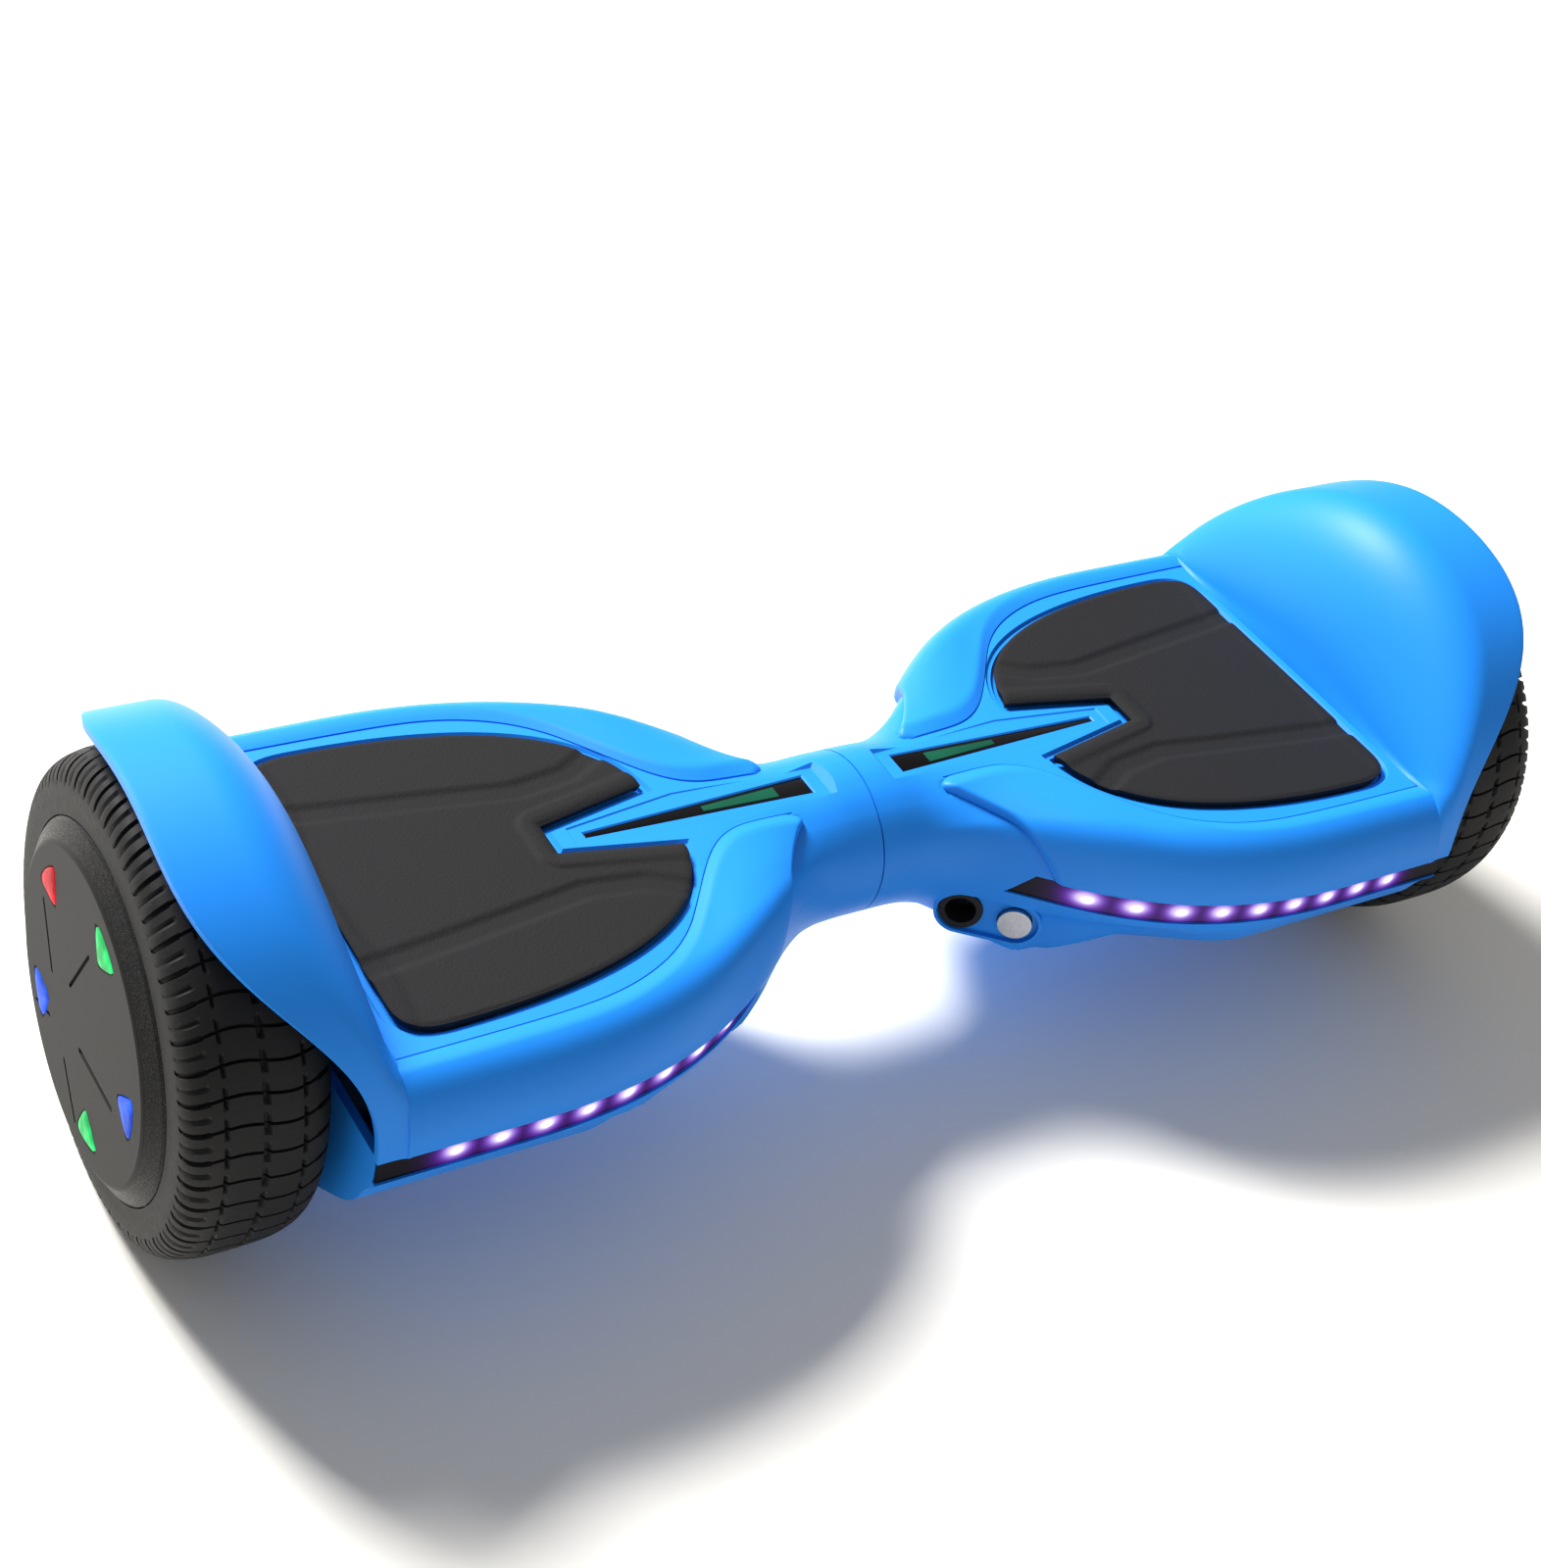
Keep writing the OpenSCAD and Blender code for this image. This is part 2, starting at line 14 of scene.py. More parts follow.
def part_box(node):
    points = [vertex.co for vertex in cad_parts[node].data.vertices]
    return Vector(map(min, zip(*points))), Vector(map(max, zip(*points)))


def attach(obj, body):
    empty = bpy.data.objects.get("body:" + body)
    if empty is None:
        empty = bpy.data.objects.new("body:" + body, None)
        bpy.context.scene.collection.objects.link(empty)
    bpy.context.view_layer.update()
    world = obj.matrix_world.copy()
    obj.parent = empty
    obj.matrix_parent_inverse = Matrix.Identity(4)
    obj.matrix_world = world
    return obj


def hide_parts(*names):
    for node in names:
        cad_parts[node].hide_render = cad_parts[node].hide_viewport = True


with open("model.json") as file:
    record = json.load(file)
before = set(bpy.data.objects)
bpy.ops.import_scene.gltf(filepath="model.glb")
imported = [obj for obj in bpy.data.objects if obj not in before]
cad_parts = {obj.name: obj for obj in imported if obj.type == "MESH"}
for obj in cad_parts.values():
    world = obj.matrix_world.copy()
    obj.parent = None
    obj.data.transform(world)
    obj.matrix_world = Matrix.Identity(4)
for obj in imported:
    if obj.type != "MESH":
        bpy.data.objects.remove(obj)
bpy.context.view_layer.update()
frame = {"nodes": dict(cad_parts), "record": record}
MM = 0.001
AXLE_Z = (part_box("right_tyre")[0].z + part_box("right_tyre")[1].z) / 2 / MM
HUB_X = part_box("right_hub_cover")[1].x / MM
print("axle", AXLE_Z, "hub", HUB_X)

# %% [markdown]
# ## Camera and light
# The board is seen from the front left and from above, with the camera rolled a little, so it
# climbs to the upper right. A long lens is used, with a small shift. The light is one large
# lamp behind on the left and above, which leaves the front in shade, with a pale world to fill.
# %% Camera
EYE = (-0.5137, -0.5853, 0.7061)
RIGHT = Vector((0.84833, -0.49618, 0.18477))
FORWARD = Vector((0.50688, 0.66025, -0.55421))
SENSOR, LENS, SHIFT = 36, 60.77, (0.0092, -0.1341)

camera_data = bpy.data.cameras.new("camera")
camera = bpy.data.objects.new("camera", camera_data)
bpy.context.scene.collection.objects.link(camera)
right = RIGHT.normalized()
back = -FORWARD.normalized()
up = back.cross(right).normalized()
camera.matrix_world = Matrix.Translation(EYE) @ Matrix((right, up, back)).transposed().to_4x4()
camera_data.sensor_width, camera_data.lens = SENSOR, LENS
camera_data.shift_x, camera_data.shift_y = SHIFT
bpy.context.scene.camera = camera
print("camera at", tuple(camera.location))

# %% Lamps and world
def lamp(name, place, aim, size, watts, colour):
    """A square soft box at place that looks at aim."""
    data = bpy.data.lights.new(name, "AREA")
    data.size, data.energy, data.color = size, watts, colour
    obj = bpy.data.objects.new(name, data)
    bpy.context.scene.collection.objects.link(obj)
    obj.location = place
    obj.rotation_euler = (Vector(aim) - Vector(place)).to_track_quat("-Z", "Y").to_euler()
    return obj

BOARD_MIDDLE, SKY = (0, 0, 0.05), 0.33
lamp("key", (-0.9, 1.9, 2.3), BOARD_MIDDLE, 0.9, 235, (1, 0.99, 0.97))
lamp("front_fill", (0.2, -2.6, 1.2), BOARD_MIDDLE, 1.6, 3, (0.9, 0.94, 1))
world = bpy.data.worlds.new("studio")
bpy.context.scene.world = world
world.use_nodes = True
background = world.node_tree.nodes["Background"]
background.inputs["Color"].default_value = (1, 1, 1, 1)
background.inputs["Strength"].default_value = SKY
bpy.context.scene.view_settings.view_transform = "Standard"

# %% [markdown]
# ## A small language for materials
# Node trees are long to write, so a Value wraps a socket and lets Python's operators add Math
# nodes, and Finish.node() adds any other node with its settings and inputs in one call.
# %% Value and Finish
class Value:
    """A number that changes over a surface."""

    def __init__(self, finish, socket):
        self.finish, self.socket = finish, socket

    def math(self, operation, *others):
        numbers = {f"i{k + 1}": v for k, v in enumerate(others)}
        return self.finish.node("ShaderNodeMath", {"operation": operation}, i0=self, **numbers)

    def __add__(self, other):
        return self.math("ADD", other)

    def __sub__(self, other):
        return self.math("SUBTRACT", other)

    def __rsub__(self, other):
        return (self * -1.0) + other

    def __mul__(self, other):
        return self.math("MULTIPLY", other)

    __radd__, __rmul__ = __add__, __mul__

    def band(self, low, high):
        """0 below low, 1 above high, smooth between."""
        return self.finish.node("ShaderNodeMapRange", {"interpolation_type": "SMOOTHSTEP"},
                                i0=self, i1=low, i2=high, i3=0.0, i4=1.0)


class Finish:
    """A material under construction."""

    def __init__(self, name, colour, rough, metal=0.0, coat=0.0):
        self.material = bpy.data.materials.new(name)
        self.material.use_nodes = True
        self.material.diffuse_color = (*colour, 1)
        self.tree = self.material.node_tree
        self.shader = self.tree.nodes["Principled BSDF"]
        self.colour = (*colour, 1)
        for socket, value in (("Base Color", self.colour), ("Roughness", rough),
                              ("Metallic", metal), ("Coat Weight", coat)):
            self.shader.inputs[socket].default_value = value

    def node(self, kind, settings=None, out=0, **inputs):
        """Adds a node: settings first, then inputs by name, or by number as i0, i1 and so on."""
        made = self.tree.nodes.new(kind)
        for key, value in (settings or {}).items():
            setattr(made, key, value)
        for key, value in inputs.items():
            index = int(key[1:]) if key[1:].isdigit() else key.replace("_", " ")
            self.feed(made.inputs[index], value)
        return Value(self, made.outputs[out])

    def feed(self, socket, value):
        """Links a Value to a socket, or sets a plain value on it."""
        if isinstance(value, Value):
            self.tree.links.new(value.socket, socket)
        else:
            socket.default_value = value

    def place(self):
        """Object coordinates, in metres in the board's frame."""
        return self.node("ShaderNodeTexCoord", out=3)

    def axes(self):
        """The object coordinates as three Values."""
        split = self.node("ShaderNodeSeparateXYZ", i0=self.place())
        outputs = split.socket.node.outputs
        return [Value(self, outputs[k]) for k in range(3)]

    def noise(self, scale, detail=2.0):
        return self.node("ShaderNodeTexNoise", Vector=self.place(), Scale=scale, Detail=detail)

    def mix(self, factor, a, b):
        """Colour a where factor is 0, b where it is 1."""
        return self.node("ShaderNodeMix", {"data_type": "RGBA"}, out=2, i0=factor, i6=a, i7=b)

    def tint(self, factor, dark, light):
        """Varies the base colour between dark and light shares of itself."""
        low = tuple(c * dark for c in self.colour[:3]) + (1,)
        high = tuple(c * light for c in self.colour[:3]) + (1,)
        mixed = self.mix(factor, low, high)
        self.feed(self.shader.inputs["Base Color"], mixed)
        return mixed

    def shine(self, level):
        """How strongly the bare surface mirrors its surroundings."""
        self.shader.inputs["Specular IOR Level"].default_value = level

    def bump(self, height, strength, distance):
        self.feed(self.shader.inputs["Normal"],
                  self.node("ShaderNodeBump", Height=height, Strength=strength, Distance=distance))

    def rough(self, factor, low, high):
        """Roughness from low where factor is 0 to high where it is 1."""
        self.feed(self.shader.inputs["Roughness"], factor * (high - low) + low)

# %% [markdown]
# ## Finishes
# Each material slot of the record gets one finish. The body is a matte dyed plastic with a very
# fine grain, the mats and tyres are rubber with a coarser grain, and the lamps glow.
# %% Plastics and rubber
FINISHES = {}

def body_finish():
    """Matte dyed plastic."""
    f = Finish("body_blue", (0.011, 0.235, 0.82), 0.46)
    grain = f.noise(2600.0)
    f.tint(f.noise(9.0), 0.96, 1.03)
    f.rough(grain, 0.42, 0.52)
    f.bump(grain, 0.12, 0.0002)
    f.shine(0.24)
    return f.material

def grained(name, colour, rough_low, rough_high, scale, distance, shine=0.2):
    """Moulded plastic or rubber with a fine even grain."""
    f = Finish(name, colour, rough_low)
    grain = f.noise(scale, 4.0)
    f.tint(grain, 0.75, 1.3)
    f.rough(grain, rough_low, rough_high)
    f.bump(grain, 0.5, distance)
    f.shine(shine)
    return f.material

FINISHES["body_blue"] = body_finish()
# name, colour, least and most roughness, grains per metre, height of the grain in metres
for look in (("mat_rubber", (0.0105, 0.0105, 0.0115), 0.72, 0.9, 900.0, 0.0004),
             ("tyre_rubber", (0.009, 0.009, 0.0095), 0.55, 0.72, 500.0, 0.0002),
             ("socket_black", (0.01, 0.01, 0.012), 0.4, 0.6, 800.0, 0.0002),
             ("cable_black", (0.02, 0.02, 0.02), 0.5, 0.7, 400.0, 0.0003),
             ("battery_wrap", (0.02, 0.09, 0.4), 0.3, 0.45, 60.0, 0.0006),
             ("board_green", (0.01, 0.13, 0.06), 0.35, 0.55, 700.0, 0.0002),
             ("rim_dark", (0.02, 0.02, 0.022), 0.4, 0.6, 900.0, 0.0001)):
    FINISHES[look[0]] = grained(*look)
print(len(FINISHES), "plastics and rubbers")

# %% Metals
def metal(name, colour, rough_low, rough_high, scale, stretch=1.0):
    """Bare or plated metal: the roughness wanders, and turned pieces show fine rings along X."""
    f = Finish(name, colour, rough_low, metal=1.0)
    turned = f.node("ShaderNodeMapping", Vector=f.place(), Scale=(stretch, 1.0, 1.0))
    grain = f.node("ShaderNodeTexNoise", Vector=turned, Scale=scale, Detail=3.0)
    f.tint(grain, 0.85, 1.1)
    f.rough(grain, rough_low, rough_high)
    f.bump(grain, 0.2, 0.0001)
    return f.material

# name, colour, least and most roughness, grains per metre, and how much closer they lie along X
for look in (("cast_alloy", (0.6, 0.61, 0.63), 0.45, 0.65, 500.0),
             ("screw_steel", (0.5, 0.5, 0.52), 0.25, 0.4, 700.0),
             ("shaft_steel", (0.55, 0.55, 0.57), 0.2, 0.35, 90.0, 12.0),
             ("winding_copper", (0.7, 0.3, 0.12), 0.3, 0.5, 400.0),
             ("magnet_nickel", (0.6, 0.6, 0.6), 0.15, 0.3, 300.0),
             ("bush_bronze", (0.6, 0.38, 0.15), 0.35, 0.5, 600.0),
             ("button_silver", (0.42, 0.43, 0.46), 0.22, 0.34, 300.0)):
    FINISHES[look[0]] = metal(*look)

def hub_finish():
    """Satin dark plastic: smooth on the flat face; on the sloping edge, glossier flecks whose base
    colour is painted lighter as painted glints.
    """
    f = Finish("hub_dark", (0.032, 0.032, 0.034), 0.5)
    along = f.axes()[0].math("ABSOLUTE")
    edge = 1.0 - along.band(HUB_X * MM - 0.0012, HUB_X * MM - 0.0002)
    fleck_mask = f.noise(2600.0, 1.0).band(0.5, 0.62)
    gloss_flecks_and_painted_glints = edge * fleck_mask
    # On the sloping edge the flecks are glossier, which is real, and their base colour is painted
    # lighter, which is a painted glint.
    f.feed(f.shader.inputs["Base Color"],
           f.mix(gloss_flecks_and_painted_glints, (0.009, 0.009, 0.0095, 1), (0.03, 0.03, 0.03, 1)))
    f.feed(f.shader.inputs["Roughness"], 0.5 - gloss_flecks_and_painted_glints * 0.2)
    f.bump(f.noise(1400.0, 1.0), 0.15, 0.0001)
    f.shine(0.07)
    return f.material

FINISHES["hub_dark"] = hub_finish()
print(sorted(FINISHES))

# %% Glossy and lit finishes
def window_finish():
    """Gloss black with faint smears."""
    f = Finish("window_black", (0.002, 0.002, 0.0025), 0.12)
    f.shine(0.2)
    f.rough(f.noise(60.0), 0.04, 0.12)
    return f.material

def glow(name, colour, emission, strength, scale):
    """A lit lens: the light inside is brighter in some places than in others."""
    f = Finish(name, colour, 0.4)
    f.shine(0.04)
    patch = f.noise(scale, 1.0).band(0.35, 0.7)
    low = tuple(c * 0.35 for c in emission) + (1,)
    f.feed(f.shader.inputs["Emission Color"], f.mix(patch, low, (*emission, 1)))
    f.shader.inputs["Emission Strength"].default_value = strength
    return f.material

FINISHES["window_black"] = window_finish()
# name, colour unlit, colour lit, strength, patches per metre
for look in (("status_green", (0.006, 0.06, 0.035), (0.012, 0.12, 0.06), 0.45, 30.0),
             ("gem_red", (0.2, 0.005, 0.01), (0.9, 0.015, 0.03), 0.9, 150.0),
             ("gem_green", (0.01, 0.2, 0.05), (0.02, 0.85, 0.2), 0.9, 150.0),
             ("gem_blue", (0.005, 0.03, 0.25), (0.02, 0.12, 1.0), 1.1, 150.0)):
    FINISHES[look[0]] = glow(*look)

# The strip's lamps: the outermost one's x, their pitch, how many, and their height
LIGHT_X0, LIGHT_PITCH, LIGHTS, LIGHT_Z = 200.5, 15.9, 9, AXLE_Z - 1.5

def strip_finish(name):
    """Smoked lens over a row of lamps: a white heart and a violet halo round each one."""
    f = Finish(name, (0.003, 0.002, 0.005), 0.25)
    f.shine(0.15)
    x, _, z = f.axes()
    place = (LIGHT_X0 * MM - x.math("ABSOLUTE")) * (1 / (LIGHT_PITCH * MM))
    nearest = place.math("ROUND").math("MAXIMUM", 0.0).math("MINIMUM", LIGHTS - 1.0)
    along = (place - nearest) * (LIGHT_PITCH * MM)
    high = z - LIGHT_Z * MM

    def halo(wide, tall):
        """1 at a lamp's centre, fading over so many millimetres along and up."""
        a, b = along * (1 / (wide * MM)), high * (1 / (tall * MM))
        return ((a * a + b * b) * -1.0).math("EXPONENT")

    heart, ring, far = halo(3.0, 2.3), halo(5.2, 3.8), halo(9.0, 9.0)
    violet = f.mix(ring, (0.0, 0.0, 0.0, 1), (0.16, 0.012, 0.6, 1))
    dim = f.mix(far, (0.0, 0.0, 0.0, 1), (0.030, 0.002, 0.09, 1))
    both = f.node("ShaderNodeMix", {"data_type": "RGBA", "blend_type": "ADD"}, out=2,
                  i0=1.0, i6=violet, i7=dim)
    f.feed(f.shader.inputs["Emission Color"], f.mix(heart, both, (1.0, 0.93, 1.0, 1)))
    f.shader.inputs["Emission Strength"].default_value = 1.6
    return f.material

FINISHES["strip_violet"] = strip_finish("strip_violet")
FINISHES["led_white"] = strip_finish("led_white")
print(len(FINISHES), "finishes")

# %% [markdown]
# ## Carried-over pieces
# The motors, boards, battery and the cast frame are hidden inside, and their CAD shapes are
# right, so those nodes stay and only take their finishes.
# %% Finishes on the CAD nodes
SLOT_OF = {p["node"]: p["material_slot"] for p in frame["record"]["subparts"]}

def dress(obj, slot):
    """Gives a piece its slot's finish and no other."""
    obj.data.materials.clear()
    obj.data.materials.append(FINISHES[slot])

for node_name, node_object in frame["nodes"].items():
    dress(node_object, SLOT_OF[node_name])
print(len(frame["nodes"]), "nodes dressed")

# %% [markdown]
# ## Tools for making pieces
# Blender's operators act on whatever is selected, so each helper first selects just its piece.
# sheet() starts from a grid primitive and lays its vertices on a surface worked out with
# numpy, which is the only practical way to get these freeform shells exactly where the CAD is.
# %% Select, sheet and tidy
def pick(obj):
    """Selects one object and makes it the active one."""
    bpy.ops.object.select_all(action="DESELECT")
    obj.select_set(True)
    bpy.context.view_layer.objects.active = obj

def edit(obj, *steps):
    """Runs edit-mode steps on the whole mesh of obj."""
    pick(obj)
    bpy.ops.object.mode_set(mode="EDIT")
    bpy.ops.mesh.select_all(action="SELECT")
    for step in steps:
        step()
    bpy.ops.object.mode_set(mode="OBJECT")
    return obj

MERGE_WITHIN = 0.00002

def merge():
    bpy.ops.mesh.remove_doubles(threshold=MERGE_WITHIN)

def outward():
    bpy.ops.mesh.normals_make_consistent(inside=False)

def fill_ends():
    bpy.ops.mesh.fill_holes(sides=0)
    bpy.ops.mesh.select_all(action="SELECT")

def face(obj, up):
    """Flips an open sheet whose faces look down when up is 1, or up when it is -1."""
    if sum(p.normal.z * p.area for p in obj.data.polygons) * up < 0:
        edit(obj, bpy.ops.mesh.flip_normals)

def joined(parts):
    """Makes one object of several."""
    pick(parts[0])
    for part in parts[1:]:
        part.select_set(True)
    if len(parts) > 1:
        bpy.ops.object.join()
    return parts[0]

def sheet(name, points):
    """A grid of len(points) x len(points[0]) vertices at those places, in millimetres."""
    nu, nv = points.shape[:2]
    bpy.ops.object.select_all(action="DESELECT")
    bpy.ops.mesh.primitive_grid_add(x_subdivisions=nu - 1, y_subdivisions=nv - 1, size=1)
    obj = bpy.context.object
    obj.name = obj.data.name = name
    flat = np.empty(nu * nv * 3)
    obj.data.vertices.foreach_get("co", flat)
    corner = flat.reshape(-1, 3) + 0.5
    i = np.rint(corner[:, 0] * (nu - 1)).astype(int)
    j = np.rint(corner[:, 1] * (nv - 1)).astype(int)
    obj.data.vertices.foreach_set("co", (points[i, j] * MM).ravel())
    obj.data.update()
    return obj

def tube(name, rings):
    """A closed solid through rings of points, with flat ends."""
    rings = np.asarray(rings, float)
    obj = sheet(name, np.concatenate([rings, rings[:, :1]], axis=1))
    return edit(obj, merge, fill_ends, outward)

def prism(name, levels):
    """A solid through outlines at heights: levels is a list of (outline points, z)."""
    return tube(name, [[(x, y, z) for x, y in outline] for outline, z in levels])

def modify(obj, kind, **settings):
    """Adds a modifier and applies it."""
    pick(obj)
    made = obj.modifiers.new(kind.lower(), kind)
    for key, value in settings.items():
        setattr(made, key, value)
    bpy.ops.object.modifier_apply(modifier=made.name)
    return obj

def cut(obj, cutters, operation="DIFFERENCE"):
    """Cuts the cutters out of obj, or adds them with operation="UNION", and removes them."""
    for cutter in cutters:
        modify(obj, "BOOLEAN", object=cutter, operation=operation, solver="MANIFOLD")
        bpy.data.objects.remove(cutter)
    return obj

def finish(obj, slot, body, replaced, angle=35):
    """Shading, material, body and the CAD nodes that the piece stands for."""
    pick(obj)
    bpy.ops.object.shade_smooth_by_angle(angle=math.radians(angle))
    dress(obj, slot)
    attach(obj, body)
    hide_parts(*replaced)
    print(obj.name, len(obj.data.polygons), "faces")

def flipped(obj, axis):
    """A copy with its own mesh, mirrored along an axis; its faces point inwards still."""
    pick(obj)
    bpy.ops.object.duplicate()
    copy = bpy.context.object
    copy.data.transform(Matrix.Scale(-1, 4, axis))
    return copy

def mirrored(obj, name):
    """A copy on the other half of the board, with its faces pointing outwards."""
    copy = flipped(obj, (1, 0, 0))
    copy.name = copy.data.name = name
    return edit(copy, outward)

def pair(obj, name, slot, body, angle=35):
    """Finishes the right piece and its mirror image on the left; both replace their CAD nodes."""
    twin = mirrored(obj, "left_" + name + "_look")
    obj.name = obj.data.name = "right_" + name + "_look"
    finish(obj, slot, "right_" + body, ["right_" + name], angle)
    finish(twin, slot, "left_" + body, ["left_" + name], angle)

print("tools ready")

# %% [markdown]
# ## The form of a platform
# Seen from above, the board flares from the round neck into a straight-sided platform. Across,
# its section is round at the neck and becomes a flat deck with soft shoulders. Both are
# functions of x here, and every shell is laid on them.
# %% Outline and section curves
NECK_R, HALF_W = 31.0, 93.5
SPLIT = 4.0            # the covers meet this far above the axle
STRIP_LOW = -7.0       # lower edge of the lit strip, from the axle
DECK = 28.5            # deck above the axle
BELLY = 48.0           # underside below the axle
DOME_X, BODY_END = 219.0, 228.0     # where the fender starts, and the lower cover ends
NECK_END, BOX_FROM = 8, 85          # x where the round section starts to change, and is all box
TUCK = 0.24            # share of its width by which the belly is drawn in

def bezier(points, t):
    """Points on the cubic curve of four control points, at the shares t of its run."""
    p = np.asarray(points, float)
    t = np.asarray(t, float)[..., None]
    return ((1 - t) ** 3 * p[0] + 3 * t * (1 - t) ** 2 * p[1]
            + 3 * t * t * (1 - t) * p[2] + t ** 3 * p[3])

def smooth(t):
    """0 below 0, 1 above 1, with a soft step between."""
    t = np.clip(t, 0, 1)
    return t * t * (3 - 2 * t)

FLARE = bezier([[20, 31], [60, 33.5], [70, 93.5], [175, 93.5]], np.linspace(0, 1, 300))

def half_width(x):
    return np.interp(x, FLARE[:, 0], FLARE[:, 1])

def seam_y(x):
    return np.interp(x, SEAM[:, 0], SEAM[:, 1])

def rounded(points, n=201, rounds=3):
    """A polyline with its corners cut a few times, as n points evenly spaced along it."""
    p = np.asarray(points, float)
    for _ in range(rounds):
        inner = np.stack([0.75 * p[:-1] + 0.25 * p[1:], 0.25 * p[:-1] + 0.75 * p[1:]], 1)
        p = np.concatenate([p[:1], inner.reshape(-1, 2)[1:-1], p[-1:]])
    run = np.concatenate([[0], np.cumsum(np.linalg.norm(np.diff(p, axis=0), axis=1))])
    even = np.linspace(0, run[-1], n)
    return np.stack([np.interp(even, run, p[:, k]) for k in (0, 1)], 1)

SEAM = rounded([[0, 12], [50, 12], [62, 14], [72, 20.5], [82, 32], [91, 43.8], [101, 56],
                [115, 66.2], [135, 73.6], [160, 76.2], [228, 77]])
SHOULDER = rounded([[0, 28.5], [72.9, 28.5], [82.7, 28.1], [89.3, 22.8], [93.5, 12], [93.5, 4]])
KEEL = rounded([[93.5, -7], [87.5, -14], [81, -28], [59.5, -43.4], [51.5, -48], [0, -48]])
print("section", len(SHOULDER), "points")

# %% Surface functions
def boxiness(x):
    """0 on the round neck, 1 on the platform."""
    return smooth((x - NECK_END) / (BOX_FROM - NECK_END))

def upper_surface(x, t):
    """Point (y, z above the axle) of the upper cover at station x; t is 0 on top, 1 at the split."""
    w, b = half_width(x), boxiness(x)
    h = NECK_R + (DECK - NECK_R) * smooth((x - NECK_END) / 22)
    even = np.linspace(0, 1, len(SHOULDER))
    box_y = w * np.interp(t, even, SHOULDER[:, 0]) / HALF_W
    box_z = SPLIT + (h - SPLIT) * (np.interp(t, even, SHOULDER[:, 1]) - SPLIT) / (DECK - SPLIT)
    turn = math.pi / 2 - t * (math.pi / 2 - np.arcsin(SPLIT / h))
    return (b * box_y + (1 - b) * w * np.cos(turn), b * box_z + (1 - b) * h * np.sin(turn))

SIDE_T = 0.18          # share of the lower sheet that the upright side takes

def lower_surface(x, t):
    """The same for the lower cover; t is 0 at the split and 1 under the middle."""
    w, b = half_width(x), boxiness(x)
    drop = NECK_R + (BELLY - NECK_R) * np.clip((x - 30) / 48, 0, 1)
    side_z = SPLIT + (STRIP_LOW - SPLIT) * t / SIDE_T
    even = np.linspace(0, 1, len(KEEL))
    k = np.clip((t - SIDE_T) / (1 - SIDE_T), 0, 1)
    share = (np.interp(k, even, KEEL[:, 1]) - STRIP_LOW) / (-BELLY - STRIP_LOW)
    on_side = t < SIDE_T
    box_y = np.where(on_side, w, np.minimum(w, np.interp(k, even, KEEL[:, 0])))
    tuck = TUCK * smooth((x - 52) / 22) * (1 - smooth((x - 96) / 50)) * smooth(share * 2.2)
    box_y = box_y * (1 - tuck)
    box_z = np.where(on_side, side_z, STRIP_LOW + (-drop - STRIP_LOW) * share)
    low = np.arcsin(STRIP_LOW / drop)
    turn = low + k * (-math.pi / 2 - low)
    side_r = np.sqrt(np.maximum(0, 1 - (side_z / np.where(side_z > 0, NECK_R, drop)) ** 2))
    round_y = np.where(on_side, w * side_r, w * np.cos(turn))
    round_z = np.where(on_side, side_z, drop * np.sin(turn))
    return b * box_y + (1 - b) * round_y, b * box_z + (1 - b) * round_z

def as_points(x, yz, side=1):
    """Places in millimetres, from x and a section's (y, z above the axle)."""
    return np.stack([x, side * yz[0], AXLE_Z + yz[1]], -1)

def offset(points, by):
    """Moves a sheet of points along its own normals, outwards from the board."""
    du, dv = np.gradient(points, axis=0), np.gradient(points, axis=1)
    n = np.cross(du, dv)
    n /= np.maximum(np.linalg.norm(n, axis=-1, keepdims=True), 1e-9)
    centre = np.array([0, 0, AXLE_Z])
    if np.sum(n * (points - centre) * [0, 1, 1]) < 0:
        n = -n
    return points + n * np.asarray(by)[..., None]

print("half width at 60 mm", round(float(half_width(60)), 1))

# %% [markdown]
# ## Upper covers
# The upper cover is one moulded shell from the middle of the neck to the wheel. The sheet runs
# from the front split over the deck to the back split, with close lines along the panel seam
# so the groove there stays crisp. Pockets are then cut from the solid shell, as a mould would.
# %% Where the panels sit
def section_length(x):
    """Millimetres round the upper cover from its top to the split, at station x."""
    t = np.linspace(0, 1, 120)
    y, z = upper_surface(np.full(t.shape, x), t)
    return float(np.hypot(np.diff(y), np.diff(z)).sum())

def seam_share(x):
    """The share t of the upper sheet at which the panel seam runs."""
    t = np.linspace(0, 1, 400)
    y, _ = upper_surface(np.full(t.shape, x), t)
    return float(np.interp(seam_y(x), y, t))

TABLE_X = np.linspace(0, DOME_X, 220)
TABLE_L = np.array([section_length(x) for x in TABLE_X])
TABLE_S = np.array([seam_share(x) for x in TABLE_X])

def panel_start(v):
    """x of a panel's end near the neck; v runs from the seam (0) to the split (1)."""
    return 26 + 36 * v + 8 * np.clip(1 - v / 0.15, 0, 1) ** 2

def panel_room(x, t):
    """Millimetres from a panel's seam and from its near end, positive on the panel."""
    seam, length = np.interp(x, TABLE_X, TABLE_S), np.interp(x, TABLE_X, TABLE_L)
    v = np.clip((t - seam) / (1 - seam), 0, 1)
    return (t - seam) * length, (x - panel_start(v)) * 0.8

print("seam at 60 mm, share", round(float(np.interp(60, TABLE_X, TABLE_S)), 3))

# %% The shell of the upper cover
SEAM_LINES = (-7, -3.5, -1.6, -0.7, -0.35, -0.15, 0.15, 0.4, 0.8, 1.8, 4, 8)
PANEL_SEAT, GROOVE = 1.5, 0.9       # how deep the cover is sunk under a panel, and at its seam
UPPER_WALL, LOWER_WALL, FENDER_WALL = 0.0036, 0.003, 0.003      # metres

